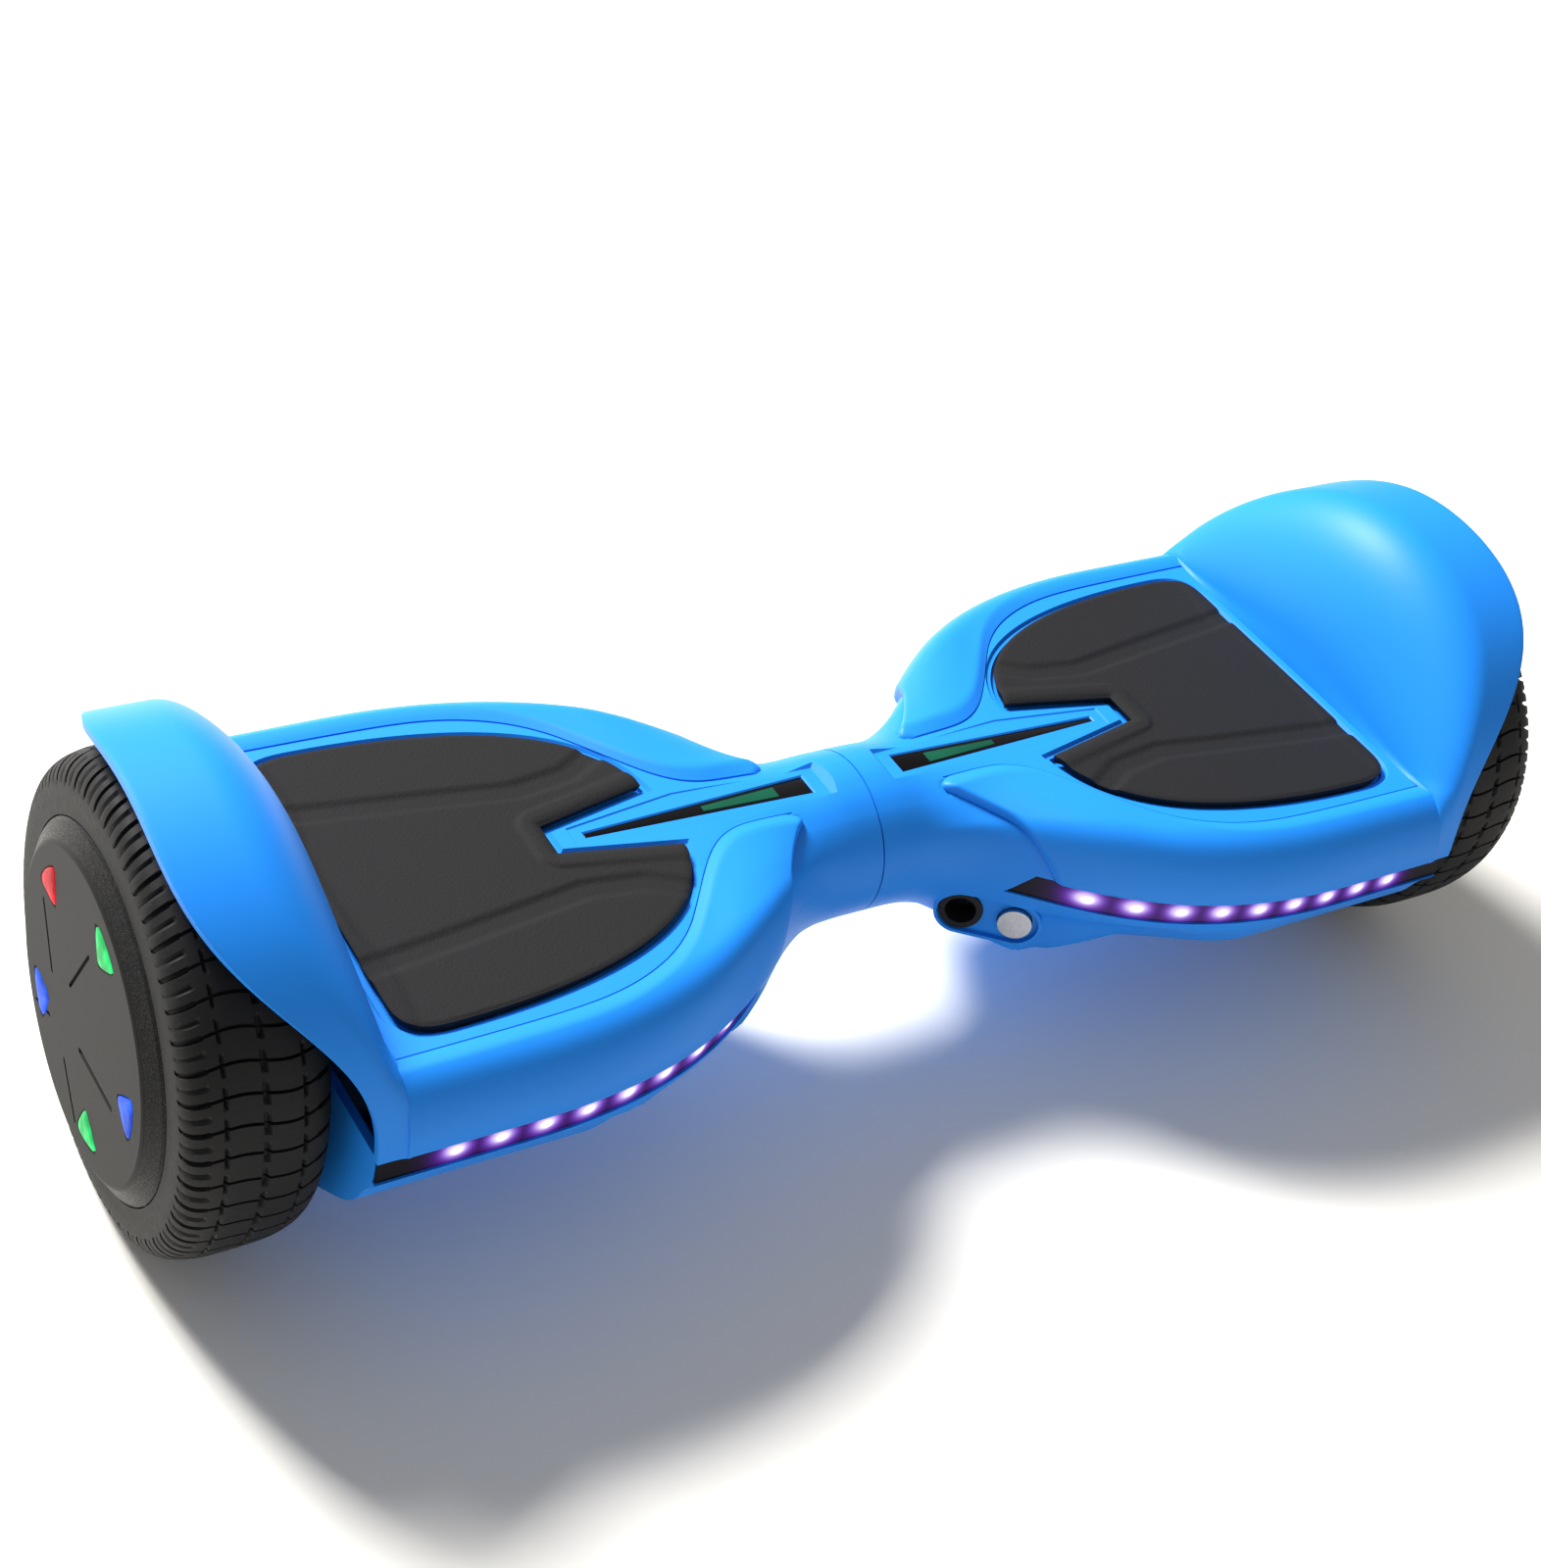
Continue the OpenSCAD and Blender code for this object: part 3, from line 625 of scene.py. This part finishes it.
def upper_sheet(side):
    """Rows along x of points from the top centre to the split, on one side."""
    xs = np.concatenate([[0.3, 1.2], np.linspace(3, DOME_X, 108)])
    seam = np.interp(xs, TABLE_X, TABLE_S)[:, None]
    length = np.interp(xs, TABLE_X, TABLE_L)[:, None]
    near = seam + np.asarray(SEAM_LINES, float)[None, :] / length
    inner = near[:, :1] * np.linspace(0, 1, 16)[None, :-1]
    outer = near[:, -1:] + (1 - near[:, -1:]) * np.linspace(0, 1, 24)[None, 1:]
    t = np.concatenate([inner, near, outer], 1)
    x = np.broadcast_to(xs[:, None], t.shape)
    d_seam, d_end = panel_room(x, t)
    under = smooth(np.minimum(d_seam, d_end) / 3)
    groove = ((d_seam > -0.4) & (d_seam < 0.2)) * smooth((x - 33) / 4)
    points = as_points(x, upper_surface(x, t), side)
    return offset(points, -PANEL_SEAT * under - GROOVE * groove * (1 - under))

def upper_shell():
    front, rear = upper_sheet(-1), upper_sheet(1)
    obj = sheet("upper", np.concatenate([front[:, ::-1], rear[:, 1:]], 1))
    edit(obj, merge, outward)
    face(obj, 1)
    return modify(obj, "SOLIDIFY", thickness=UPPER_WALL, offset=-1)

upper = upper_shell()
print("upper shell", len(upper.data.polygons))

# %% Outline of the mat and the wedge
MAT_Z, DECK_Z, POCKET_Z = 115.0, AXLE_Z + DECK, 109.2

def mat_half_outline():
    """From the notch's tip, out along the prong and round to the wheel end, y positive."""
    side = bezier([[81, 16], [86, 52], [130, 68.5], [195, 69]], np.linspace(0, 1, 40))
    corner = bezier([[195, 69], [207, 69], [212, 65.5], [212, 54.5]], np.linspace(0, 1, 12))
    notch = np.array([[126, 0], [126, 7], [111, 10], [96, 13]])
    return np.concatenate([notch, side, corner[1:], [[212, 0]]])

def grown(outline, by):
    """Moves a closed outline outwards by so many millimetres."""
    after, before = np.roll(outline, -1, 0), np.roll(outline, 1, 0)
    a, b = after - outline, outline - before
    a /= np.linalg.norm(a, axis=1, keepdims=True)
    b /= np.linalg.norm(b, axis=1, keepdims=True)
    mid = a + b
    mid /= np.linalg.norm(mid, axis=1, keepdims=True)
    normal = np.stack([mid[:, 1], -mid[:, 0]], 1)
    cosine = np.maximum(np.sum(normal * np.stack([a[:, 1], -a[:, 0]], 1), 1), 0.5)
    area = np.sum(outline[:, 0] * after[:, 1] - after[:, 0] * outline[:, 1])
    return outline + normal * (by * np.sign(area) / cosine)[:, None]

half = mat_half_outline()
MAT = np.concatenate([half, half[-2:0:-1] * [1, -1]])
MAT = MAT[::-1]

def wedge(grow, x0=20.0, x1=112.0):
    """The window's outline, wide at the neck and narrow at the notch, moved outwards by grow."""
    w0 = 4.5 - 3.5 * (x0 - 20) / 92 + grow
    w1 = 4.5 - 3.5 * (x1 - 20) / 92 + grow
    return np.array([[x0 - grow, -w0], [x1 + grow, -w1], [x1 + grow, w1], [x0 - grow, w0]])

print("mat outline", len(MAT))

# %% Cut the deck and make the pair
def neck_flat():
    """The planed facet on top of the neck, round the window: a slab lifted off its middle."""
    low = np.array([[14, -7.5], [72, -10], [117, -4.2], [117, 4.2], [72, 10], [14, 7.5]])
    high = np.array([[9.5, -12], [72, -14.5], [121, -8.7], [121, 8.7], [72, 14.5], [9.5, 12]])
    return prism("flat", [(low, DECK_Z - 0.5), (high, DECK_Z + 4)])

cut(upper, [
    neck_flat(),
    prism("step", [(grown(MAT, 1.9), DECK_Z - 1.4), (grown(MAT, 3.0), DECK_Z + 0.01),
                   (grown(MAT, 3.0), DECK_Z + 5)]),
    prism("pocket", [(grown(MAT, 0.6), POCKET_Z), (grown(MAT, 0.6), DECK_Z + 4)]),
    prism("window", [(wedge(0.15), DECK_Z - 8), (wedge(0.15), DECK_Z - 1.0),
                     (wedge(0.7), DECK_Z - 0.49), (wedge(0.7), DECK_Z + 3)]),
])
pair(upper, "upper_cover", "body_blue", "half", 30)

# %% [markdown]
# ## Side panels
# Each platform has a front and a back panel: a pillow-like skin over the shoulder, with a bright
# sloped band along its seam and a thick rounded lip at the neck. A closed strip of surface,
# outer skin and inner skin in one ring, gives the same soft swelling all the way round.
# %% Slab between two offsets of a surface
def slab(name, outer, inner):
    """A closed solid whose sections are the rows of outer, and of inner run backwards."""
    return tube(name, np.concatenate([outer, inner[:, ::-1]], 1))

BAND, LIP_R, FOOT_R, INSET = 5.6, 3.2, 1.6, 1.3     # sloped band, round edges, depth in the cover

def rounding(room, radius):
    """0 at an edge, rising as a quarter circle to 1 at a radius from it."""
    return np.sqrt(np.clip(1 - (1 - np.clip(room / radius, 0, 1)) ** 2, 0, 1))

def panel(side):
    """One panel: s runs from its neck end to the fender, v from the seam to the split."""
    s = np.concatenate([np.linspace(0, 0.05, 14)[:-1], np.linspace(0.05, 1, 86)])[:, None]
    per_cent = np.array([0, 0.5, 1.6, 3.2, 4.8, 5.6, 6.6, 9, 13])
    v_rows = np.concatenate([per_cent / 100, np.linspace(0.17, 0.94, 34),
                             [0.955, 0.97, 0.985, 0.995, 1]])
    v = np.broadcast_to(v_rows[None, :], (len(s), len(v_rows)))
    x = panel_start(v) + (DOME_X + 0.4 - panel_start(v)) * s
    seam = np.interp(x, TABLE_X, TABLE_S)
    t = seam + (1 - seam) * v
    base = as_points(x, upper_surface(x, t), side)
    length = np.interp(x, TABLE_X, TABLE_L)
    d_seam = (t - seam) * length
    lip = rounding((x - panel_start(v)) * 0.8, LIP_R)
    foot = rounding((1 - v) * (1 - seam) * length, FOOT_R)
    rise = 0.25 + 1.9 * np.clip(d_seam / BAND, 0, 1) + 0.5 * smooth((d_seam - BAND) / 22)
    near = 1 + 0.55 * smooth(1 - (x - 40) / 55)
    outer = offset(base, -INSET + (INSET + rise * near) * lip * (0.45 + 0.55 * foot))
    inner = offset(base, -INSET * np.clip(d_seam / 3, 0.05, 1))
    inner = np.where((lip == 0)[..., None], outer, inner)
    obj = slab("panel", outer, inner)
    return edit(obj, merge, outward)

pair(panel(-1), "front_panel", "body_blue", "half", 40)
pair(panel(1), "back_panel", "body_blue", "half", 40)

# %% [markdown]
# ## Lower covers
# The lower shell is a boat-like tub. Its front has a channel for the lit strip, and on the
# right half an oval recess near the neck holds the power button and the charging socket.
# %% The tub
def lower_sheet(side, xs, t):
    x, t = np.meshgrid(xs, t, indexing="ij")
    return as_points(x, lower_surface(x, t), side)

def lower_shell():
    """The tub: its sheet runs over the wheel end too, in shrinking rings that leave a hole."""
    xs = np.concatenate([[0.3, 1.2], np.linspace(3, BODY_END, 100)])
    t = np.concatenate([np.linspace(0, SIDE_T, 6), np.linspace(SIDE_T, 1, 44)[1:]])
    front, rear = lower_sheet(-1, xs, t), lower_sheet(1, xs, t)
    loop = np.concatenate([front, rear[:, -2::-1]], 1)
    centre = np.array([0, 0, AXLE_Z])
    end = loop[-1]
    for share in (0.96, 0.6, 0.3):
        ring = centre + (end - centre) * share
        ring[:, 0] = BODY_END
        loop = np.concatenate([loop, ring[None]])
    obj = sheet("lower", loop)
    edit(obj, merge, outward)
    face(obj, -1)
    return modify(obj, "SOLIDIFY", thickness=LOWER_WALL, offset=-1)

lower = lower_shell()
print("tub", len(lower.data.polygons))

# %% The strip channel
def channel(name, low, high, out, into, end, lead=0.0):
    """A solid that follows the front edge between two heights above the axle."""
    z = np.linspace(high, low, 7)
    t = (SPLIT - z) / (SPLIT - STRIP_LOW) * SIDE_T
    x0 = 50.6 + (z + AXLE_Z - 79) * 0.71 + lead
    s = np.linspace(0, 1, 110)[:, None]
    x = x0[None, :] + (end - x0[None, :]) * s
    tt = np.broadcast_to(t[None, :], x.shape)
    base = as_points(x, lower_surface(x, tt), -1)
    return slab(name, offset(base, np.full(x.shape, out)), offset(base, np.full(x.shape, -into)))

cut(lower, [channel("channel", STRIP_LOW + 0.2, SPLIT - 0.02, 3, 2.2, BODY_END + 3)])
tub_left = mirrored(lower, "left_lower_cover_look")

# %% The recess of the controls
# Its middle, the way out of the flank, and the way along it
CONTROL = np.array([47.0, -42.31, AXLE_Z - 22])
OUT = np.array([-0.6157, -0.7880, 0.0])
ALONG = np.array([-0.7880, 0.6157, 0.0])

def oval(radius, reach, start, end, rows=48):
    """A rounded bar through the flank: straight middle of half length reach, then round ends."""
    rings = []
    for depth in (start, end):
        ring = []
        for k in range(rows):
            a = 2 * math.pi * k / rows
            shift = reach if math.cos(a) >= 0 else -reach
            ring.append(CONTROL - OUT * depth + ALONG * (shift + radius * math.cos(a))
                        + np.array([0, 0, radius * math.sin(a)]))
        rings.append(ring)
    return tube("oval", rings)

def bore(at, radius, start, end, rows=40):
    """A round bar into the flank, so far along the recess from its middle."""
    place = CONTROL + ALONG * at
    rings = [[place - OUT * depth + ALONG * radius * math.cos(2 * math.pi * k / rows)
              + np.array([0, 0, radius * math.sin(2 * math.pi * k / rows)])
              for k in range(rows)] for depth in (start, end)]
    return tube("bore", rings)

REACH = 10.5                        # the button and the socket sit this far from the middle
BUTTON_BORE, PORT_BORE = 6.8, 8.6   # radii
cut(lower, [oval(10.3, REACH, 1.0, 9)], "UNION")
cut(lower, [oval(9.0, REACH, -12, 3.0), bore(-REACH, BUTTON_BORE, 2, 20),
            bore(REACH, PORT_BORE, 2, 20)])
lower.name = lower.data.name = "right_lower_cover_look"
finish(lower, "body_blue", "right_half", ["right_lower_cover"], 30)
finish(tub_left, "body_blue", "left_half", ["left_lower_cover"], 30)

# %% [markdown]
# ## Lit strips
# A smoked lens fills the channel. The lamps behind it stand as low domes, nine to a side, so the
# light has something to catch; the glow itself is worked out from the lamps' places.
# %% Lens and lamp domes
lens = channel("lens", STRIP_LOW + 0.4, SPLIT - 0.4, -0.9, 2.3, BODY_END - 0.5, 0.4)
pair(lens, "light_strip", "strip_violet", "half", 40)

DOME_WIDE, DOME_DEEP, DOME_TALL = 3.4, 0.5, 2.5      # half sizes

def domes():
    """The lamps' domes, each turned to follow the flare of the board."""
    made = []
    for k in range(LIGHTS):
        x = LIGHT_X0 - LIGHT_PITCH * k
        y = -float(half_width(x))
        slope = float(half_width(x + 1) - half_width(x - 1)) / 2
        bpy.ops.object.select_all(action="DESELECT")
        bpy.ops.mesh.primitive_uv_sphere_add(segments=20, ring_count=10, radius=1)
        dome = bpy.context.object
        turn = Matrix.Rotation(-math.atan(slope), 4, "Z")
        shape = Matrix.Diagonal((DOME_WIDE * MM, DOME_DEEP * MM, DOME_TALL * MM, 1))
        place = Matrix.Translation(Vector((x, y + 0.85, LIGHT_Z)) * MM)
        dome.data.transform(place @ turn @ shape)
        made.append(dome)
    return joined(made)

pair(domes(), "leds", "led_white", "half", 60)

# %% [markdown]
# ## Fenders
# A fender starts as the outline of the platform's end and swells into a round hood over the
# tyre, longest over the top. One sheet, thickened and with its rim rounded, gives the hood.
# %% Fender
FENDER_R, FENDER_RISE, FENDER_EDGE = 95.0, 52.0, 229
SWELL = 0.7            # share of the sheet in which the hood swells to its full radius
FENDER_LOW = math.degrees(math.asin((SPLIT + 0.4) / HALF_W))

def fender():
    """The hood: phi runs round the axle, s from the platform's end to the free edge."""
    phi = np.radians(np.linspace(FENDER_LOW, 180 - FENDER_LOW, 121))[None, :]
    s = np.concatenate([np.linspace(0, SWELL, 30), np.linspace(SWELL, 1, 12)[1:]])[:, None]
    u = np.clip((FENDER_R * np.sin(phi) - 3) / (FENDER_R - 3), 0, 1)
    edge = FENDER_EDGE + FENDER_RISE * np.sin(math.pi / 2 * u) ** 3
    crest = DOME_X + (edge - DOME_X) * 0.6
    proud = 2.3 * smooth((SHOULDER[:, 0] - 70) / 8)
    around = np.arctan2(SHOULDER[:, 1], SHOULDER[:, 0])[::-1]
    box_r = np.interp(np.minimum(phi, math.pi - phi), around,
                      (np.hypot(SHOULDER[:, 0], SHOULDER[:, 1]) + proud)[::-1])
    dome = np.clip(s / SWELL, 0, 1) * math.pi / 2
    x = (DOME_X + (crest - DOME_X) * (1 - np.cos(dome))
         + (edge - crest) * np.clip((s - SWELL) / 0.3, 0, 1))
    x = x - 1.2 * np.clip(1 - s / 0.06, 0, 1)      # tucks the base under the panels' ends
    r = box_r + (FENDER_R - box_r) * np.sin(dome)
    points = np.stack([x, -r * np.cos(phi), AXLE_Z + r * np.sin(phi)], -1)
    obj = sheet("fender", points)
    edit(obj, merge, outward)
    middle = obj.data.polygons[len(obj.data.polygons) // 2]
    if (middle.center.z - AXLE_Z * MM) * middle.normal.z + middle.center.y * middle.normal.y < 0:
        edit(obj, bpy.ops.mesh.flip_normals)
    modify(obj, "SOLIDIFY", thickness=FENDER_WALL, offset=-1)
    return modify(obj, "BEVEL", width=0.0008, segments=3, limit_method="ANGLE",
                  angle_limit=math.radians(50))

pair(fender(), "fender", "body_blue", "half", 40)

# %% [markdown]
# ## Foot mats
# The mats are soft rubber with a low relief: a raised rim round the notch that takes the window,
# two valleys that run outwards from it, and a raised wheel end. Half a mat is laid between the
# outline's four corners, lifted by the relief and mirrored over the middle line.
# %% The patch and its relief
def distance_to_line(points, line):
    """Distance of each point from a polyline."""
    best = np.full(points.shape[:-1], 1e9)
    for a, b in zip(line[:-1], line[1:]):
        a, b = np.asarray(a, float), np.asarray(b, float)
        along = np.clip(((points - a) @ (b - a)) / max((b - a) @ (b - a), 1e-9), 0, 1)
        best = np.minimum(best, np.linalg.norm(points - a - along[..., None] * (b - a), axis=-1))
    return best

NOTCH = [(81, 16), (126, 7), (126, -7), (81, -16)]
VALLEY = [(86, 40), (104, 30), (126, 27), (160, 32), (214, 39)]
WAVE_Y, WAVE_X = [0, 22, 40, 69], [207, 206, 202, 205]     # where the raised wheel end starts

def relief(x, y):
    """Height of the pattern over the mat's plain face."""
    p = np.stack([x, np.abs(y)], -1)
    rim = distance_to_line(p, NOTCH)
    height = 0.9 * smooth(1 - (rim - 7) / 2.2) * smooth(rim / 4.5)
    valley = distance_to_line(p, VALLEY)
    height = height - 1.1 * smooth(1 - (valley - 3) / 2.5)
    wheel_side = smooth((x - np.interp(np.abs(y), WAVE_Y, WAVE_X)) / 3)
    return height + 0.5 * wheel_side

def loop_points(outline, n):
    """n points evenly spaced along a line of points."""
    run = np.concatenate([[0], np.cumsum(np.linalg.norm(np.diff(outline, axis=0), axis=1))])
    at = np.linspace(0, run[-1], n)
    return np.stack([np.interp(at, run, outline[:, k]) for k in (0, 1)], 1)

MAT_GAP = 0.4          # the mat's outline is drawn in by this much
MAT_FACE = MAT_Z - 0.9

def mat():
    """Half a mat between its four corners A, B, C and D, then its mirror image and a thickness."""
    n, m = 90, 60
    ring = np.concatenate([half, half[-2:0:-1] * [1, -1]])
    inset = grown(ring, -MAT_GAP)[:len(half)]
    a, d = np.array([126 + MAT_GAP, 0]), np.array([212 - MAT_GAP, 0])
    top = loop_points(inset[4:44], n)                                 # B to C along the side
    bottom = np.stack([np.linspace(a[0], d[0], n), np.zeros(n)], 1)   # A to D on the middle line
    left = loop_points(np.concatenate([[a], inset[1:5]]), m)          # A to B along the notch
    right = loop_points(np.concatenate([[d], inset[43:][::-1]]), m)   # D to C at the wheel end
    u, v = np.linspace(0, 1, n)[:, None, None], np.linspace(0, 1, m)[None, :, None]
    flat = ((1 - v) * bottom[:, None] + v * top[:, None] + (1 - u) * left[None] + u * right[None]
            - (1 - u) * (1 - v) * bottom[0] - u * (1 - v) * bottom[-1]
            - (1 - u) * v * top[0] - u * v * top[-1])
    x, y = flat[..., 0], flat[..., 1]
    z = MAT_FACE + relief(x, y)
    edge = distance_to_line(flat, list(np.concatenate([left, top, right[::-1]])))
    z = z - 0.5 * (1 - smooth(edge / 1.6))
    one = sheet("mat", np.stack([x, y, np.minimum(z, MAT_Z)], -1))
    joined([one, flipped(one, (0, 1, 0))])
    edit(one, merge, outward)
    face(one, 1)
    modify(one, "SOLIDIFY", thickness=0.0032, offset=-1)
    return modify(one, "BEVEL", width=0.0007, segments=2, limit_method="ANGLE",
                  angle_limit=math.radians(50))

pair(mat(), "foot_mat", "mat_rubber", "mat", 30)

# %% [markdown]
# ## Status windows
# A gloss-black wedge sits just under the rim of its recess, and a dim green bar shows in it.
# %% Window and bar
BAR_X = (32, 66)
pane = prism("window", [(wedge(0.1), DECK_Z - 3), (wedge(0.1), DECK_Z - 1.0)])
pair(modify(pane, "BEVEL", width=0.0003, segments=2), "status_window", "window_black", "half")
bar = prism("bar", [(wedge(-1.5, *BAR_X), DECK_Z - 1.7), (wedge(-1.5, *BAR_X), DECK_Z - 0.85),
                    (wedge(-1.8, *BAR_X), DECK_Z - 0.75)])
pair(bar, "status_light", "status_green", "half")

# %% [markdown]
# ## Tyres
# The tread has fine waved grooves across, crossed by short dashes round the wheel. The tread is a
# sheet round the axle whose lines fall on the edges of the grooves, so their walls are steep.
# %% Tread
PITCHES, TYRE_HALF, TYRE_R = 50, 24.5, 84
WAVE, CROSS, SIDE_CROSS, DASH, SIPE = 1.5, 2.0, 2.2, 1.6, 1.2      # bend and depths of the grooves
SHAPE = [(-24.5, 64), (-24.5, 74), (-22.54, 79), (-18.62, 82), (-12.74, 83.5), (-7.84, 84),
         (7.84, 84), (12.74, 83.5), (18.62, 82), (22.54, 79), (24.5, 74), (24.5, 64)]

def tyre():
    """The tyre as rings: a runs across the tread, r is the radius, turn runs round the wheel."""
    across = rounded(SHAPE, 90, 2)
    a, r = across[:, 0][:, None], across[:, 1][:, None]
    cell = np.array([-0.5, -0.38, -0.24, -0.1, -0.055, -0.04, 0.04, 0.055, 0.1, 0.24, 0.38])
    turn = ((np.arange(PITCHES)[:, None] + cell[None]) / PITCHES).ravel()[None, :]
    phase = (np.tile(cell, PITCHES))[None, :]
    wave = WAVE * np.sin(a / 18 * math.pi)
    tread = smooth((24.4 - np.abs(a)) / 0.5) * smooth((r - 73.5) / 1.5)
    groove = np.where(np.abs(phase) < 0.045, CROSS, 0) * tread
    wide = (np.abs(a) > 17) & (np.abs(phase) < 0.06)
    groove = np.where(wide, SIDE_CROSS * tread, groove)
    for at in (-12.5, 0, 12.5):
        dash = (np.abs(a - at) < 0.55) & (np.abs(phase) < 0.27)
        groove = np.where(dash, np.maximum(groove, DASH * tread), groove)
    sipe = (a < -17.5) & (np.abs(np.abs(phase) - 0.5) < 0.02)
    groove = np.where(sipe, np.maximum(groove, SIPE * tread), groove)
    lean = np.arctan2(wave, TYRE_R) * tread
    angle = turn * 2 * math.pi + lean
    radius = r - groove
    centre = HUB_X - 5 - TYRE_HALF
    x = np.broadcast_to(centre - a, radius.shape)
    points = np.stack([x, radius * np.cos(angle), AXLE_Z + radius * np.sin(angle)], -1)
    points = np.concatenate([points, points[:, :1]], 1)
    points = np.concatenate([points, points[:1]], 0)
    obj = sheet("tyre", points)
    return edit(obj, merge, outward)

pair(tyre(), "tyre", "tyre_rubber", "wheel", 30)

# %% [markdown]
# ## Hub covers and their lights
# The hub cover is a shallow dish with a sloping edge, so it is spun from its profile. The five
# little lamps sit in pockets cut in its face, and five slanting grooves are cut between them.
# %% Hub dish
def spun(name, profile, steps=128):
    """Turns (radius, x) points round the axle."""
    turns = [2 * math.pi * k / steps for k in range(steps)]
    return tube(name, [[(x, r * math.cos(a), AXLE_Z + r * math.sin(a)) for a in turns]
                       for r, x in profile])

GEMS, GEM_TURN, GEM_RADIUS = 5, 39, 46.0

def shield(grow):
    """A lamp's outline, a shield with its point towards the axle, moved outwards by grow."""
    p = np.array([[-10, -1], [-1, -8.5], [1.5, -7.5], [2.5, 0], [1.5, 7.5], [-1, 8.5], [-10, 1]])
    mid = np.array([-3, 0])
    return rounded_loop(mid + (p - mid) * (1 + grow / 5))

def rounded_loop(p, rounds=2):
    """A closed outline with its corners cut."""
    for _ in range(rounds):
        nxt = np.roll(p, -1, 0)
        p = np.stack([0.8 * p + 0.2 * nxt, 0.2 * p + 0.8 * nxt], 1).reshape(-1, 2)
    return p

def on_face(k, outline, x):
    """Places a flat outline on the wheel's face, its first axis pointing away from the axle."""
    a = math.radians(GEM_TURN + 360 / GEMS * k)
    out, side = np.array([math.cos(a), math.sin(a)]), np.array([-math.sin(a), math.cos(a)])
    yz = (GEM_RADIUS + outline[:, :1]) * out + outline[:, 1:] * side
    return np.column_stack([np.full(len(yz), x), yz[:, 0], yz[:, 1] + AXLE_Z])

# Each groove: radius and angle of its two ends, and its width
GROOVES = [(42, 23, 28, -12, 1.6), (29, 98, 11, 15, 1.6), (33, -158, 15, -96, 2.6),
           (48, -91, 34, -69, 1.6), (51, -37, 38, -43, 1.6)]
HUB_DEEP, GROOVE_DEEP, ROUND_STEPS = 7, 1.1, 20

def on_wheel(radius, degrees):
    a = math.radians(degrees)
    return np.array([radius * math.cos(a), radius * math.sin(a)])

def groove_tool(r0, a0, r1, a1, wide):
    """A bar with round ends that is narrower below the face than at it."""
    p, q = on_wheel(r0, a0), on_wheel(r1, a1)
    d = (q - p) / np.linalg.norm(q - p)
    n = np.array([-d[1], d[0]])
    rings = []
    for x, w in ((HUB_X - GROOVE_DEEP, wide * 0.5), (HUB_X + 0.01, wide), (HUB_X + 2, wide)):
        ring = []
        for j in range(ROUND_STEPS):
            t = 2 * math.pi * j / ROUND_STEPS
            end = q if math.cos(t) >= 0 else p
            at = end + d * w / 2 * math.cos(t) + n * w / 2 * math.sin(t)
            ring.append((x, at[0], AXLE_Z + at[1]))
        rings.append(ring)
    return tube("groove", rings)

def lamp_pocket(k):
    return tube("pocket", [on_face(k, shield(0.1), HUB_X - 2.0), on_face(k, shield(0.1), HUB_X - 0.5),
                           on_face(k, shield(0.7), HUB_X + 0.01), on_face(k, shield(0.7), HUB_X + 3)])

def hub():
    c = HUB_X - HUB_DEEP
    obj = spun("hub", [(10, c), (63.5, c), (63.5, c + 2), (62.6, c + 2.9), (61.5, c + 3.5),
                       (56.6, c + 6.6), (55.6, c + HUB_DEEP), (10, c + HUB_DEEP)])
    return cut(obj, [lamp_pocket(k) for k in range(GEMS)] + [groove_tool(*g) for g in GROOVES])

pair(hub(), "hub_cover", "hub_dark", "wheel", 10)

# %% Lights in the hub
def gem(k):
    """One lamp: straight sides in its pocket, then two bevels up to its face."""
    return tube("gem", [on_face(k, shield(-0.1), HUB_X - 1.9), on_face(k, shield(-0.1), HUB_X),
                        on_face(k, shield(-1.0), HUB_X + 0.45),
                        on_face(k, shield(-3.2), HUB_X + 0.6)])

def gems(which, name, slot):
    pair(joined([gem(k) for k in which]), name, slot, "wheel", 20)

gems([0], "red_lens", "gem_red")
gems([1, 3], "green_lenses", "gem_green")
gems([2, 4], "blue_lenses", "gem_blue")

# %% [markdown]
# ## Floor
# The floor is a wide pale plane.
# %% Floor
bpy.ops.object.select_all(action="DESELECT")
bpy.ops.mesh.primitive_plane_add(size=8, location=(0, 0, 0))
floor = bpy.context.object
floor.name = floor.data.name = "floor"
# Painted shade correction: the floor's warm tint cancels the blue light that the body bounces into
# its shadows, so they look neutral grey.
pale = Finish("floor_warmed_against_blue_bounce", (0.92, 0.90, 0.85), 0.8)
pale.tint(pale.noise(400.0), 0.985, 1.0)
floor.data.materials.append(pale.material)
